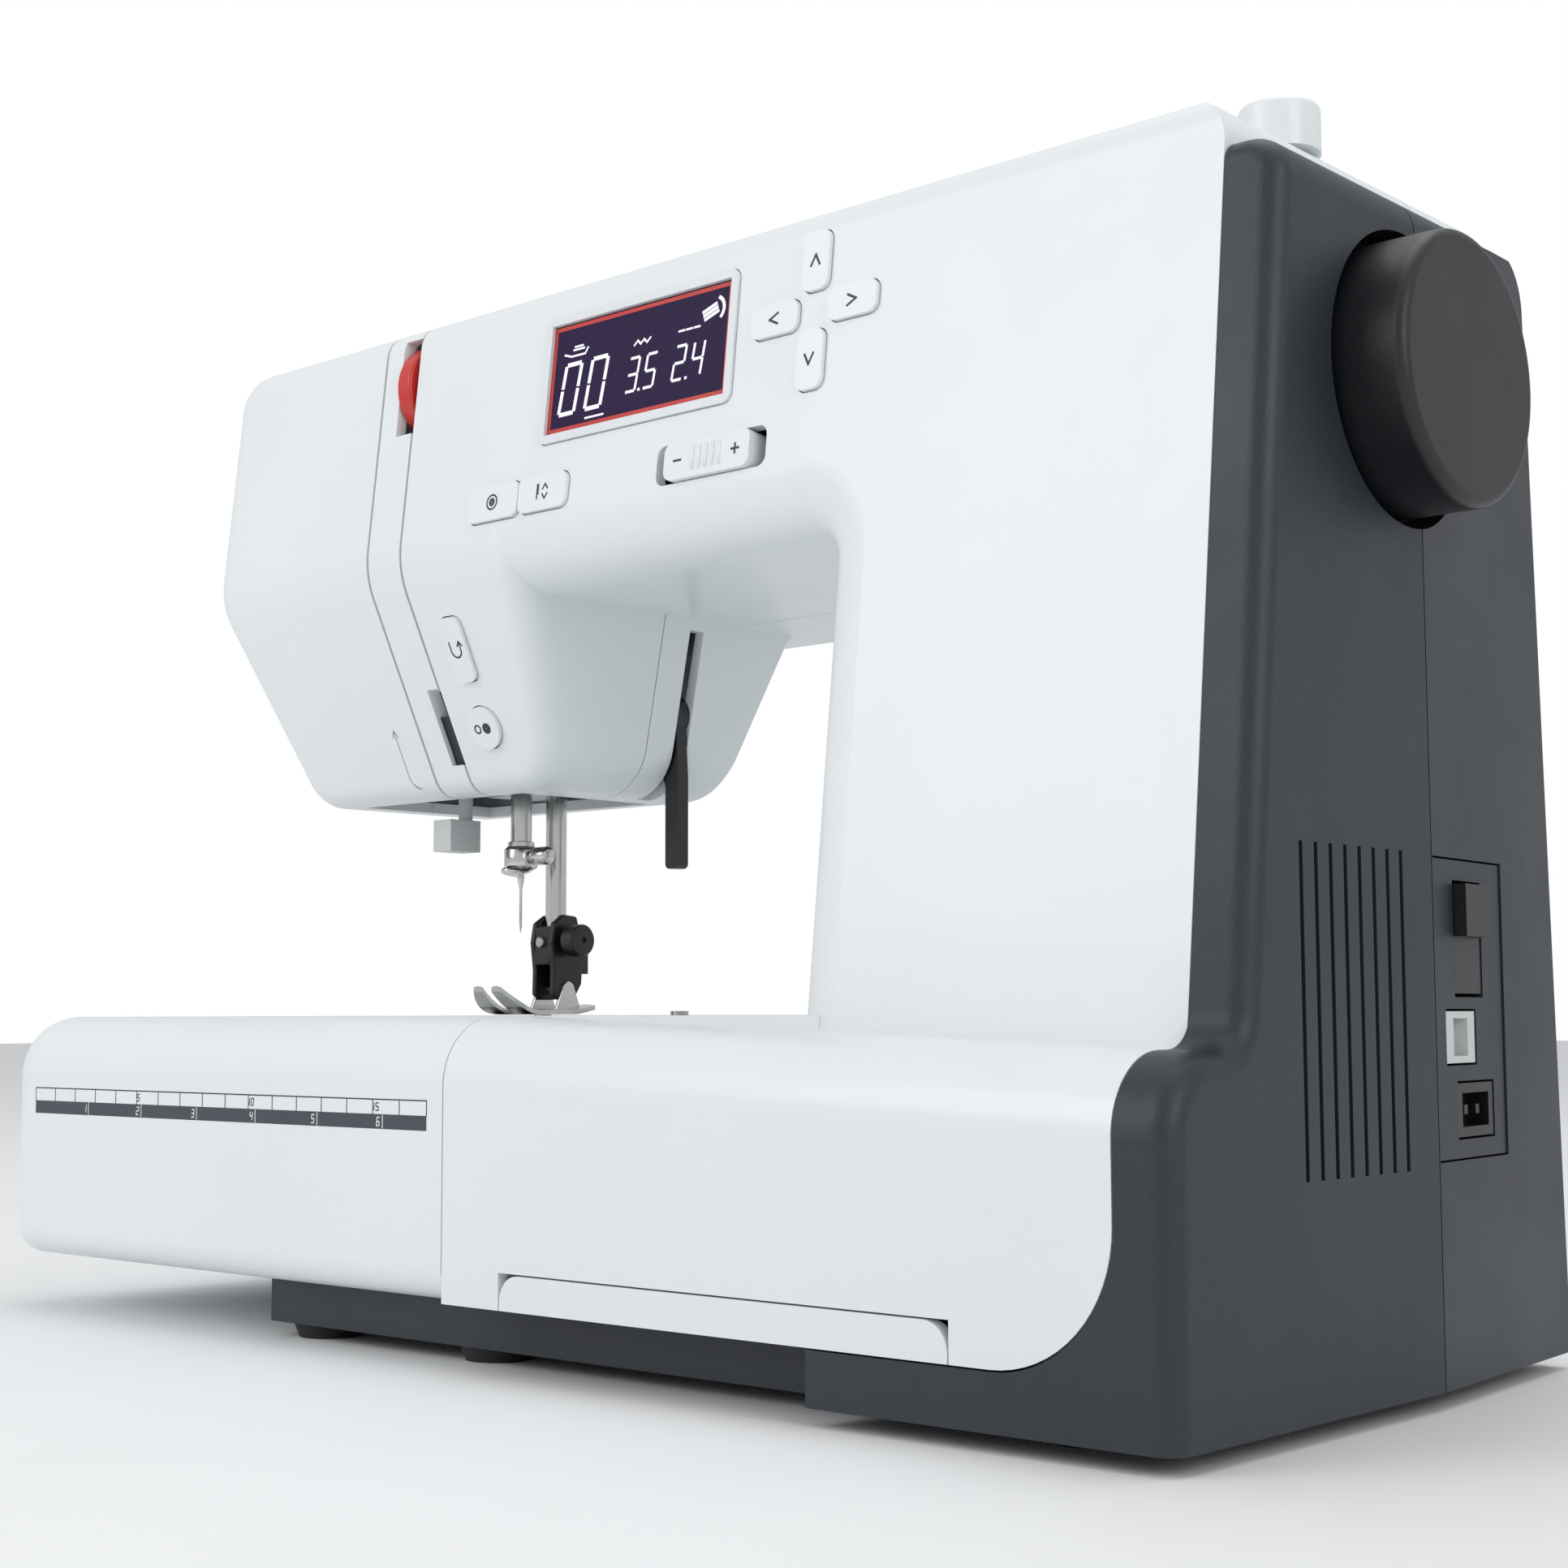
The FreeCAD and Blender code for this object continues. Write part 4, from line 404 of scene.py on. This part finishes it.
chevron = [[(-1.3, -1.2), (0, 1.3), (1.3, -1.2)]]
for quarter, side in enumerate(("up", "left", "down", "right")):
    mark(f"arrow_{side}_mark", turned(chevron, quarter), KEY_PEN,
         front_spot(f"arrow_{side}_button", FACE_OUT), RIGHT, FACE_UP, f"arrow_{side}", ink_dark)

key_marks = {
    "thread_cut": [arc(0, 0, 1.9, 0, 360), arc(0, 0, 0.9, 0, 360, 9), arc(0, 0, 0.45, 0, 360, 7)],
    "needle_up_down": [[(-1.6, 2.0), (-1.6, -1.6)], [(-1.2, 2.0), (-1.2, -0.4)],
                       [(0.4, 0.7), (1.3, 1.9), (2.2, 0.7)], [(0.4, -0.7), (1.3, -1.9), (2.2, -0.7)]],
    "reverse": [arc(0, 0, 1.9, 180, 360, 14), [(-1.9, 0), (-1.9, 2.4)],
                [(1.0, 1.2), (1.9, 2.4), (2.8, 1.2)], [(1.9, 0), (1.9, 2.2)]],
    "start_stop": [arc(-1.9, 0, 1.1, 0, 360, 14), arc(1.6, 0, 1.3, 0, 360, 14),
                   arc(1.6, 0, 0.9, 0, 360, 10), arc(1.6, 0, 0.4, 0, 360, 7)],
}
key_nodes = {"thread_cut": "thread_cut_button", "needle_up_down": "needle_button",
             "reverse": "reverse_button", "start_stop": "start_stop_button"}
for body, strokes in key_marks.items():
    on_chin = body in ("reverse", "start_stop")
    up, out = (CHIN_UP, CHIN_OUT) if on_chin else (FACE_UP, FACE_OUT)
    mark(f"{body}_mark", strokes, FINE_PEN, front_spot(key_nodes[body], out), RIGHT, up, body,
         ink_dark)
print("key marks:", 4 + len(key_marks))

# %% [markdown]
# The speed slider has a minus and a plus printed at its ends, and five raised ribs for the
# fingertip between them. A rib is half a cylinder, worked out as a half circle carried along its
# length, and it sinks to nothing at both ends.

# %% Minus, ribs and plus on the speed slider
RIB_RADIUS, RIB_HALF_LONG, RIB_TAPER, RIB_SINK, RIB_PITCH, RIB_COUNT = 0.55, 3.2, 0.3, 0.05, 2.2, 5
knob = front_spot("speed_slider", FACE_OUT)
mark("slider_signs", [[(-10.6, 0), (-8.4, 0)], [(8.4, 0), (10.6, 0)], [(9.5, -1.1), (9.5, 1.1)]],
     KEY_PEN, knob, RIGHT, FACE_UP, "speed_slider", ink_dark)


def rib(name, x):
    """One raised rib: a half circle carried along its length, narrower and flat at both ends."""
    across = np.linspace(0, math.pi, 9)
    length = np.array([-RIB_HALF_LONG, RIB_TAPER - RIB_HALF_LONG, RIB_HALF_LONG - RIB_TAPER,
                       RIB_HALF_LONG])
    swell = np.array([0.0, 1.0, 1.0, 0.0])[:, None]
    u = x + RIB_RADIUS * np.cos(across)[None, :] * (0.4 + 0.6 * swell)
    v = np.repeat(length[:, None], len(across), 1)
    rise = RIB_RADIUS * np.sin(across)[None, :] * swell - RIB_SINK
    flat = np.stack([u, v], -1).reshape(-1, 2)
    points = lay(flat, knob, RIGHT, FACE_UP, 0) + rise.reshape(-1, 1) * MM * np.array(FACE_OUT)
    faces = grid_faces(len(length), len(across), True)
    return new_piece(name, points, faces, "speed_slider", white, True)


for number in range(RIB_COUNT):
    rib(f"slider_rib_{number}", (number - (RIB_COUNT - 1) / 2) * RIB_PITCH)
print("slider dressed at", [round(v, 4) for v in knob])

# %% [markdown]
# The display is a dark window with a thin red line round it and pale figures behind. The figures
# are seven-segment digits, slanted a little as on a real display, so one table of which segments
# are lit draws all of them.

# %% Figures in the display
LIT_PEN = 0.55
SEGMENTS = {"0": "abcdef", "1": "bc", "2": "abged", "3": "abgcd", "4": "fgbc", "5": "afgcd",
            "6": "afgedc", "7": "abc", "8": "abcdefg", "9": "abcdfg"}
SLANT = 0.13


def segment_points(letter, wide, tall, gap):
    """The two ends of one segment of a digit that is wide x tall, short of the corners by gap."""
    half = tall / 2
    ends = {"a": ((gap, tall), (wide - gap, tall)), "g": ((gap, half), (wide - gap, half)),
            "d": ((gap, 0), (wide - gap, 0)), "b": ((wide, half + gap), (wide, tall - gap)),
            "c": ((wide, gap), (wide, half - gap)), "f": ((0, half + gap), (0, tall - gap)),
            "e": ((0, gap), (0, half - gap))}
    return [(x + SLANT * y, y) for x, y in ends[letter]]


def figures(text, x, y, wide, tall, pitch, gap):
    """Strokes for a number, digit by digit; a point is a dot and takes no room of its own."""
    strokes = []
    for character in text:
        if character == ".":
            strokes.append([(x - pitch * 0.22, y), (x - pitch * 0.22 + 0.05, y)])
            continue
        strokes += [[(x + u, y + v) for u, v in segment_points(s, wide, tall, gap)]
                    for s in SEGMENTS[character]]
        x += pitch
    return strokes


screen = front_spot("lcd_screen", FACE_OUT)
mark("display_count", figures("00", -27.6, -9.6, 5.6, 13.0, 9.6, 0.8), 1.15, screen, RIGHT, FACE_UP,
     "machine", lit)
mark("display_sizes", figures("3.5", -3.6, -7.8, 3.4, 8.6, 6.2, 0.5)
     + figures("2.4", 12.6, -7.8, 3.4, 8.6, 6.2, 0.5), 0.75, screen, RIGHT, FACE_UP, "machine", lit)
zigzag = [(-1.5 + 1.1 * i, 4.2 + 1.0 * (i % 2)) for i in range(6)]
dashes = [[(14.0 + 2.6 * i, 4.7), (15.8 + 2.6 * i, 4.7)] for i in range(3)]
sole = [[(-27.0, 6.4), (-24.5, 5.6), (-19.5, 5.6), (-18.6, 7.0)], [(-23.8, 7.2), (-20.0, 7.2)],
        [(-23.4, 8.0), (-20.6, 8.0)]]
underline = [(-17.4, -12.0), (-11.0, -12.0)]
mark("display_signs", [zigzag, *dashes, *sole, underline], LIT_PEN, screen, RIGHT, FACE_UP, "machine",
     lit)
slate = [[(22.0, 8.0), (26.0, 9.4)], [(22.4, 7.0), (26.4, 8.4)], [(22.8, 6.0), (26.8, 7.4)],
         arc(25.6, 8.0, 3.2, -40, 60, 9)]
mark("display_corner_sign", slate, 0.9, screen, RIGHT, FACE_UP, "machine", lit)
print("display at", [round(v, 4) for v in screen])

# %% [markdown]
# The red line is printed on the edge of the window itself, so its size is taken from the window: a
# little in from each side, as one closed stroke.

# %% Red line round the display
LINE_PEN, SIDE_MARGIN, END_MARGIN = 1.1, 0.6, 0.9
screen_low, screen_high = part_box("lcd_screen")
reach_x = (screen_high.x - screen_low.x) / 2 / MM - SIDE_MARGIN
reach_z = (screen_high.z - screen_low.z) / 2 / MM - END_MARGIN
frame_line = [[(-reach_x, -reach_z), (reach_x, -reach_z), (reach_x, reach_z), (-reach_x, reach_z),
               (-reach_x, -reach_z)]]
mark("display_red_line", frame_line, LINE_PEN, screen, RIGHT, FACE_UP, "machine", red)
print("red line", round(2 * reach_x, 1), "x", round(2 * reach_z, 1), "mm")

# %% [markdown]
# The ruler on the table's front is the one place where the machine is also a measuring tool, so it
# is drawn in true centimetres and inches from one zero. A pale row of outlined cells stands above a
# dark band with the inch figures let into it in white.

# %% The printed ruler
RULER_LEFT, RULER_TOP, RULER_TALL, RULER_CM, INCH = -184.0, 61.8, 7.0, 17, 25.4
FIGURE_PEN = 0.3
table_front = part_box("slide_on_table")[0].y
zero = Vector((RULER_LEFT * MM, table_front, (RULER_TOP - RULER_TALL) * MM))
row = RULER_TALL / 2
long = RULER_CM * 10.0
edge = [[(0, row), (0, RULER_TALL), (long, RULER_TALL), (long, row)]]
cells = [[(cm * 10.0, row), (cm * 10.0, RULER_TALL)] for cm in range(1, RULER_CM)]
mark("ruler_cells", edge + cells, 0.32, zero, RIGHT, UP, "slide_on_table", ink_dark)
mark("ruler_band", [[(row / 2, row / 2), (long - row / 2, row / 2)]], row, zero, RIGHT, UP,
     "slide_on_table", ink_band)
inches = sum([figures(str(n), n * INCH - 0.9, 0.75, 1.0, 2.0, 1.8, 0.12) for n in range(1, 7)], [])
ticks = [[(n * INCH + 1.4, 0.3), (n * INCH + 1.4, row - 0.3)] for n in range(1, 7)]
mark("ruler_inch_figures", inches + ticks, FIGURE_PEN, zero, RIGHT, UP, "slide_on_table", ink_white,
     INK_LIFT * 2)
centimetres = sum([figures(str(n), n * 10 + 1.0 - 0.8 * len(str(n)), 4.35, 1.0, 1.8, 1.7, 0.12)
                   for n in (5, 10, 15)], [])
mark("ruler_centimetre_figures", centimetres, 0.28, zero, RIGHT, UP, "slide_on_table", ink_dark,
     INK_LIFT * 2)
print("ruler", long, "mm long from x", RULER_LEFT)

# %% [markdown]
# The thread path is shown by a fine printed line on the head, with an arrow where the thread turns
# up. It follows the chin, so it is laid on the lower of the two leaning faces.

# %% Thread path line on the head
PATH_X, PATH_Z, CHIN_LOW, CHIN_HIGH = -98.5, 160.0, 150.0, 185.0
cover_points = corners("face_cover")
height = cover_points[:, 2] / MM
chin_points = cover_points[(height < CHIN_HIGH) & (height > CHIN_LOW)]
chin_reach = float((chin_points @ np.array(CHIN_OUT)).max())
path_spot = Vector((PATH_X, 0, PATH_Z)) * MM
path_spot += CHIN_OUT * (chin_reach - path_spot.dot(CHIN_OUT))
path = [[(-2.5, 15.5), (-2.5, 2.0)], arc(1.5, 2.0, 4.0, 180, 262, 8),
        [(-3.6, 13.6), (-2.5, 15.8), (-1.4, 13.6)]]
mark("thread_path_line", path, 0.28, path_spot, RIGHT, CHIN_UP, "machine", ink_grey)
print("thread path at", [round(v, 4) for v in path_spot])

# %% [markdown]
# Small steel parts are made the way they are machined: by turning or by bending. A turned part is a
# profile of radius and distance carried once round its axis, which is a grid of angle by profile
# point. The profile starts and ends on the axis, so the solid is closed.


# %% Turned parts
MERGE_WITHIN = 1e-6
SHARP_FROM = math.radians(38)


def turn(name, profile, base, axis, body, material, slot_name, count=48):
    """A turned solid: every (radius, distance) of the profile goes once round the axis."""
    axis = Vector(axis).normalized()
    first = axis.orthogonal().normalized()
    second = axis.cross(first)
    angle = np.linspace(0, 2 * math.pi, count, endpoint=False)
    ring = np.outer(np.cos(angle), np.array(first)) + np.outer(np.sin(angle), np.array(second))
    radius, along = np.array(profile, float).T * MM
    points = (np.array(base) + along[:, None, None] * np.array(axis)
              + radius[:, None, None] * ring[None]).reshape(-1, 3)
    faces = grid_faces(len(profile), count, True)
    piece = new_piece(name, points, faces, body, material, True)
    tidy(piece)
    return piece


def tidy(piece):
    """Merges doubled points at the poles, drops empty faces and turns all faces outwards."""
    shape = bmesh.new()
    shape.from_mesh(piece.data)
    bmesh.ops.remove_doubles(shape, verts=shape.verts, dist=MERGE_WITHIN)
    bmesh.ops.dissolve_degenerate(shape, edges=shape.edges, dist=MERGE_WITHIN)
    bmesh.ops.recalc_face_normals(shape, faces=shape.faces)
    for edge in shape.edges:
        if len(edge.link_faces) == 2 and edge.calc_face_angle(0) > SHARP_FROM:
            edge.smooth = False
    shape.to_mesh(piece.data)
    shape.free()


print("edges are sharp from", round(math.degrees(SHARP_FROM)), "degrees")

# %% [markdown]
# A machine needle has a thick shank, a cone and a thin blade with a fine point. The clamp is a
# turned cup on the end of the bar with a cross screw and a small guide ring under it. Each is one
# profile, and the needle and the clamp take the place of the plain ones.

# %% Needle, its clamp and screw
needle_low, needle_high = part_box("needle")
needle_middle = (needle_low + needle_high) / 2
axis_spot = Vector((needle_middle.x, needle_middle.y, needle_low.z))
needle = turn("needle_shaped", [(0, 0), (0.12, 0.3), (0.36, 1.8), (0.42, 4.0), (0.42, 12.5),
                                (0.95, 15.0), (1.0, 15.6), (1.0, 21.0), (0, 21.0)],
              axis_spot, (0, 0, 1), "needle_bar", plated, "plated", 24)
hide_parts("needle")
bar_centre = Vector((axis_spot.x, axis_spot.y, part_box("needle_clamp")[0].z))
clamp = turn("needle_clamp_turned", [(0, 0), (2.2, 0), (3.4, 0.8), (4.6, 1.6), (4.8, 2.2), (4.8, 6.6),
                                     (4.4, 7.2), (3.8, 7.6), (3.8, 8.8), (3.4, 9.0), (0, 9.0)],
             bar_centre, (0, 0, 1), "needle_bar", plated, "plated")
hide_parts("needle_clamp")
screw_base = bar_centre + Vector((4.6, 0, 4.6)) * MM
turn("needle_clamp_screw", [(0, -1.0), (1.3, -1.0), (1.3, 1.0), (2.4, 1.4), (2.6, 1.8),
                            (2.6, 6.6), (2.3, 7.2), (1.6, 7.6), (0.4, 7.7), (0, 7.7)],
     screw_base, (1, 0, 0), "needle_bar", plated, "plated", 32)
turn("needle_thread_guide", [(0, 0), (2.9, 0), (3.1, 0.3), (3.1, 0.8), (2.9, 1.1), (0, 1.1)],
     bar_centre + Vector((0, -3.6, -0.4)) * MM, (0, 0.25, 1), "needle_bar", plated, "plated", 32)
print("needle tip at z", round(axis_spot.z, 4))

# %% [markdown]
# The presser foot is bent and milled from one piece of steel: a flat sole with a needle slot, and
# two toes that curl up at the front so that the fabric slides under. Its shape is a height over the
# sole's outline. The sole is a grid whose sides follow the toes, and a second grid a little higher
# closes it into a solid.


# %% The presser foot
def plate_solid(name, under, over, body, material):
    """A closed plate between two grids of the same size: bottom, top, and a wall round the edge."""
    rows, columns = under.shape[:2]
    size = rows * columns
    top = grid_faces(rows, columns)
    bottom = top[:, ::-1]
    index = np.arange(size).reshape(rows, columns)
    rim = np.concatenate([index[0, :], index[1:, -1], index[-1, -2::-1], index[-2:0:-1, 0]])
    following = np.roll(rim, -1)
    wall = np.stack([rim, following, following + size, rim + size], 1)
    faces = np.concatenate([bottom, top + size, wall])
    points = np.concatenate([under.reshape(-1, 3), over.reshape(-1, 3)])
    piece = new_piece(name, points, faces, body, material, True)
    tidy(piece)
    return piece


SOLE_HALF_WIDE, TIP_NARROWER, SLOT_HALF, SOLE_THICK, CROWN = 9.3, 3.6, 1.9, 1.3, 0.3
TIP_CURL, HEEL_RISE, CURL_SHARE, NARROW_SHARE = 6.4, 1.3, 0.36, 0.22
PIN_Y, PIN_Z, SLOT_PAST_NEEDLE = 15.4, 89.0, 3.0
foot_low, foot_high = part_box("presser_foot")
sole_z = foot_low.z / MM
toe_y, heel_y = foot_low.y / MM, foot_high.y / MM
needle_x, needle_y = axis_spot.x / MM, axis_spot.y / MM


def toe(name, side):
    """One toe and its half of the sole: width narrows to the tip, and height curls up there."""
    along = np.linspace(0, 1, 28)
    across = np.linspace(0, 1, 9)
    y = toe_y + (heel_y - toe_y) * along
    inner = np.where(y < needle_y + SLOT_PAST_NEEDLE, SLOT_HALF, 0.01)
    outer = SOLE_HALF_WIDE - TIP_NARROWER * np.clip(1 - along / NARROW_SHARE, 0, 1) ** 2
    x = inner[:, None] + (outer - inner)[:, None] * across[None]
    curl = TIP_CURL * np.clip(1 - along / CURL_SHARE, 0, 1) ** 2
    heel = HEEL_RISE * np.clip((y - PIN_Y) / (heel_y - PIN_Y), 0, 1)
    thick = SOLE_THICK + CROWN * np.sin(math.pi * across)[None] * np.ones_like(y)[:, None]
    under = np.stack([needle_x + side * x, np.repeat(y[:, None], len(across), 1),
                      np.repeat((sole_z + curl + heel)[:, None], len(across), 1)], -1) * MM
    over = under + np.array(UP) * thick[..., None] * MM
    return plate_solid(name, under, over, "presser_foot", plated)


left_toe = toe("foot_left_toe", -1)
toe("foot_right_toe", 1)
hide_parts("presser_foot")
print("foot from y", round(toe_y, 1), "to", round(heel_y, 1))

# %% [markdown]
# Plates cut from sheet, and flat parts with broken edges, need one helper: an outline seen from the
# side, given a thickness across, with a Bevel modifier that rounds only the real corners.


# %% Plates cut to an outline
def slab(name, outline, x0, x1, body, material, round_by=0.5):
    """A plate cut from sheet: an outline in (y, z) given a thickness along x, edges broken."""
    outline = np.array(outline, float)
    count = len(outline)
    left = np.column_stack([np.full(count, x0), outline]) * MM
    right = np.column_stack([np.full(count, x1), outline]) * MM
    faces = [list(range(count))[::-1], list(range(count, 2 * count))]
    ring = np.arange(count)
    wall = np.stack([ring, (ring + 1) % count, (ring + 1) % count + count, ring + count], 1).tolist()
    data = bpy.data.meshes.new(name)
    data.from_pydata(np.concatenate([left, right]).tolist(), [], faces + wall)
    data.materials.append(material)
    piece = bpy.data.objects.new(name, data)
    bpy.context.scene.collection.objects.link(piece)
    tidy(piece)
    edge_round = piece.modifiers.new("broken_edges", "BEVEL")
    edge_round.width, edge_round.segments = round_by * MM, 3
    edge_round.limit_method, edge_round.angle_limit = "ANGLE", math.radians(35)
    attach(piece, body)
    return piece


print("a plate's edges are rounded by its own bevel")

# %% [markdown]
# The thread channel ends in a narrow throat, and the eye looks through it into the dark of the head.
# A thin black plate stands in the throat just behind the skin, leaning as the chin does: it is painted
# shade, a dark sheet that stands for the shadow inside the head.

# %% The dark of the thread channel
CHIN_AT_BEND, BEND_Z, SHADE_SET, SHADE_THICK = -54.2, 201.0, 1.4, 0.8
SHADE_LEFT, SHADE_RIGHT, SHADE_LOW, SHADE_HIGH = -81.3, -76.5, 150.3, 163.0
shade_line = [(CHIN_AT_BEND + (BEND_Z - z) * CHIN_SLOPE + SHADE_SET, z)
              for z in (SHADE_LOW, SHADE_HIGH)]
shade = shade_line + [(y + SHADE_THICK, z) for y, z in shade_line[::-1]]
# painted shade: a black plate standing for the shadow inside the channel, not a real part
slab("channel_painted_shade", shade, SHADE_LEFT, SHADE_RIGHT, "machine", black, 0.1)
print("channel shaded from z", SHADE_LOW, "to", SHADE_HIGH)

# %% [markdown]
# Two ears stand up from the sole and hold a pin between them, which the ankle snaps on. An ear is a
# triangle with a round top, so its outline is two corners and an arc round the pin.

# %% The foot's ears and pin
EAR_AWAY, EAR_HALF, EAR_ROUND, PIN_RADIUS = 5.2, 0.6, 2.2, 1.0
ear = [(PIN_Y - 5.0, sole_z + 1.2), (PIN_Y + 4.6, sole_z + 1.6),
       *[(PIN_Y + EAR_ROUND * math.cos(a), PIN_Z + EAR_ROUND * math.sin(a))
         for a in np.linspace(0.2, math.pi - 0.2, 9)]]
for name, ear_x in (("left", needle_x - EAR_AWAY), ("right", needle_x + EAR_AWAY)):
    slab(f"foot_ear_{name}", ear, ear_x - EAR_HALF, ear_x + EAR_HALF, "presser_foot", plated,
         0.25)
turn("foot_pin", [(0, 0), (PIN_RADIUS, 0), (PIN_RADIUS, 2 * EAR_AWAY), (0, 2 * EAR_AWAY)],
     Vector((needle_x - EAR_AWAY, PIN_Y, PIN_Z)) * MM, (1, 0, 0), "presser_foot", steel, "plated", 20)
print("foot ears and pin made")

# %% [markdown]
# The ankle that the foot snaps into is a casting in black paint: a body clamped to the bar by a big
# thumb screw on its right, a hooked fork below, and a small lever behind that lets the foot go. It
# is built from plates cut to outline, each with its edges broken, and a turned screw.

# %% The ankle and its thumb screw
holder_low, holder_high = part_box("foot_holder")
low_z, high_z = holder_low.z / MM, holder_high.z / MM
cheek = [(PIN_Y - 5.2, low_z + 1.0), (PIN_Y - 3.2, low_z - 0.5), (PIN_Y + 3.0, low_z - 0.5),
         (PIN_Y + 6.0, low_z + 4.0), (PIN_Y + 6.4, low_z + 9.0), (PIN_Y + 5.2, high_z - 4.5),
         (PIN_Y + 4.0, high_z - 0.5), (PIN_Y - 1.0, high_z), (PIN_Y - 5.0, high_z - 2.5),
         (PIN_Y - 6.0, high_z - 8.0), (PIN_Y - 5.0, low_z + 8.0)]
collar = [(PIN_Y - 5.6, low_z + 9.5), (PIN_Y + 5.4, low_z + 9.5), (PIN_Y + 4.8, high_z - 3.4),
          (PIN_Y - 5.2, high_z - 3.4)]
fork = [(PIN_Y + 1.6, low_z + 1.0), (PIN_Y + 5.2, low_z + 1.6), (PIN_Y + 6.2, low_z + 10.2),
        (PIN_Y + 2.2, low_z + 10.2)]
for name, outline, first_x, last_x, round_by in (
        ("body_left", cheek, -4.6, -2.9, 0.6), ("body_right", cheek, 2.9, 4.8, 0.6),
        ("collar", collar, -3.4, 3.4, 0.7), ("fork", fork, -3.2, 3.2, 0.5)):
    slab(f"ankle_{name}", outline, needle_x + first_x, needle_x + last_x, "presser_bar",
                       black, round_by)
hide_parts("foot_holder")
turn("ankle_thumb_screw",
     [(0, -1.5), (1.4, -1.5), (1.4, 1.2), (2.4, 1.4), (4.2, 1.8), (4.6, 2.2), (4.6, 6.4), (4.2, 6.9),
      (3.2, 7.0), (0.9, 7.0), (0.8, 6.4), (0, 6.4)],
     Vector((needle_x + 4.8, PIN_Y, high_z - 7.6)) * MM, (1, 0, 0), "presser_bar", black,
     "black_plastic")
turn("ankle_side_screw", [(0, 0), (1.6, 0), (1.6, 0.9), (1.3, 1.2), (0, 1.2)],
     Vector((needle_x, PIN_Y - 5.4, high_z - 8.0)) * MM, (0, -1, 0), "presser_bar", steel, "steel", 24)
print("ankle from z", round(low_z, 1), "to", round(high_z, 1))

# %% [markdown]
# The machine stands on a pale, plain floor. The surround lights it evenly, and only the camera sees
# the surround as pure white, so the backdrop can be bright without washing out the covers.

# %% Floor and surround
FLOOR_HALF = 6.0
floor_data = bpy.data.meshes.new("floor")
floor_data.from_pydata([(-FLOOR_HALF, -FLOOR_HALF, 0), (FLOOR_HALF, -FLOOR_HALF, 0),
                        (FLOOR_HALF, FLOOR_HALF, 0), (-FLOOR_HALF, FLOOR_HALF, 0)], [], [(0, 1, 2, 3)])
floor = bpy.data.objects.new("floor", floor_data)
bpy.context.scene.collection.objects.link(floor)
paper = finish("studio_floor", (0.86, 0.865, 0.87), (0.84, 0.845, 0.85), 0.7, 0.8, depth=0.0)
floor_data.materials.append(paper)

world = bpy.data.worlds.new("studio")
bpy.context.scene.world = world
world.use_nodes = True
sky = world.node_tree
surround = sky.nodes["Background"]
surround.inputs["Color"].default_value = (0.97, 0.985, 1.0, 1)
surround.inputs["Strength"].default_value = 0.68
backdrop = sky.nodes.new("ShaderNodeBackground")
backdrop.inputs["Color"].default_value = (1, 1, 1, 1)
seen = sky.nodes.new("ShaderNodeLightPath")
either = sky.nodes.new("ShaderNodeMixShader")
sky.links.new(seen.outputs["Is Camera Ray"], either.inputs[0])
sky.links.new(surround.outputs[0], either.inputs[1])
sky.links.new(backdrop.outputs[0], either.inputs[2])
sky.links.new(either.outputs[0], sky.nodes["World Output"].inputs["Surface"])
bpy.context.scene.view_settings.view_transform = "Standard"
print("floor and surround ready")

# %% [markdown]
# Three soft boxes shape the machine: a large one from the upper left front, a weaker one on the dark
# side to draw its round edges, and one overhead. The camera stands low at the right front.


# %% Lights and camera
def softbox(name, place, target, size, power):
    """A square area light at a place, turned to face a target."""
    data = bpy.data.lights.new(name, "AREA")
    data.size, data.energy = size, power
    lamp = bpy.data.objects.new(name, data)
    lamp.location = place
    lamp.rotation_euler = (Vector(target) - Vector(place)).to_track_quat("-Z", "Y").to_euler()
    bpy.context.scene.collection.objects.link(lamp)


MIDDLE = (0.0, 0.0, 0.14)
softbox("key_light", (-0.7, -1.5, 0.95), MIDDLE, 1.0, 8.0)
softbox("side_light", (1.5, -0.35, 0.75), MIDDLE, 0.7, 4.5)
softbox("top_light", (0.1, 0.3, 1.6), MIDDLE, 1.2, 6.0)

CAMERA_PLACE = (0.43078, -0.46211, 0.0820)
CAMERA_TURN = (95.40, 0.16, 42.06)
camera_data = bpy.data.cameras.new("camera")
camera_data.lens, camera_data.sensor_width = 55.65, 36.0
camera_data.clip_start = 0.01
camera = bpy.data.objects.new("camera", camera_data)
camera.location = CAMERA_PLACE
camera.rotation_euler = [math.radians(angle) for angle in CAMERA_TURN]
bpy.context.scene.collection.objects.link(camera)
bpy.context.scene.camera = camera
print("camera and lights ready")

# %% [markdown]
# That is the whole scene.

# %% The end of the scene
print("scene complete")
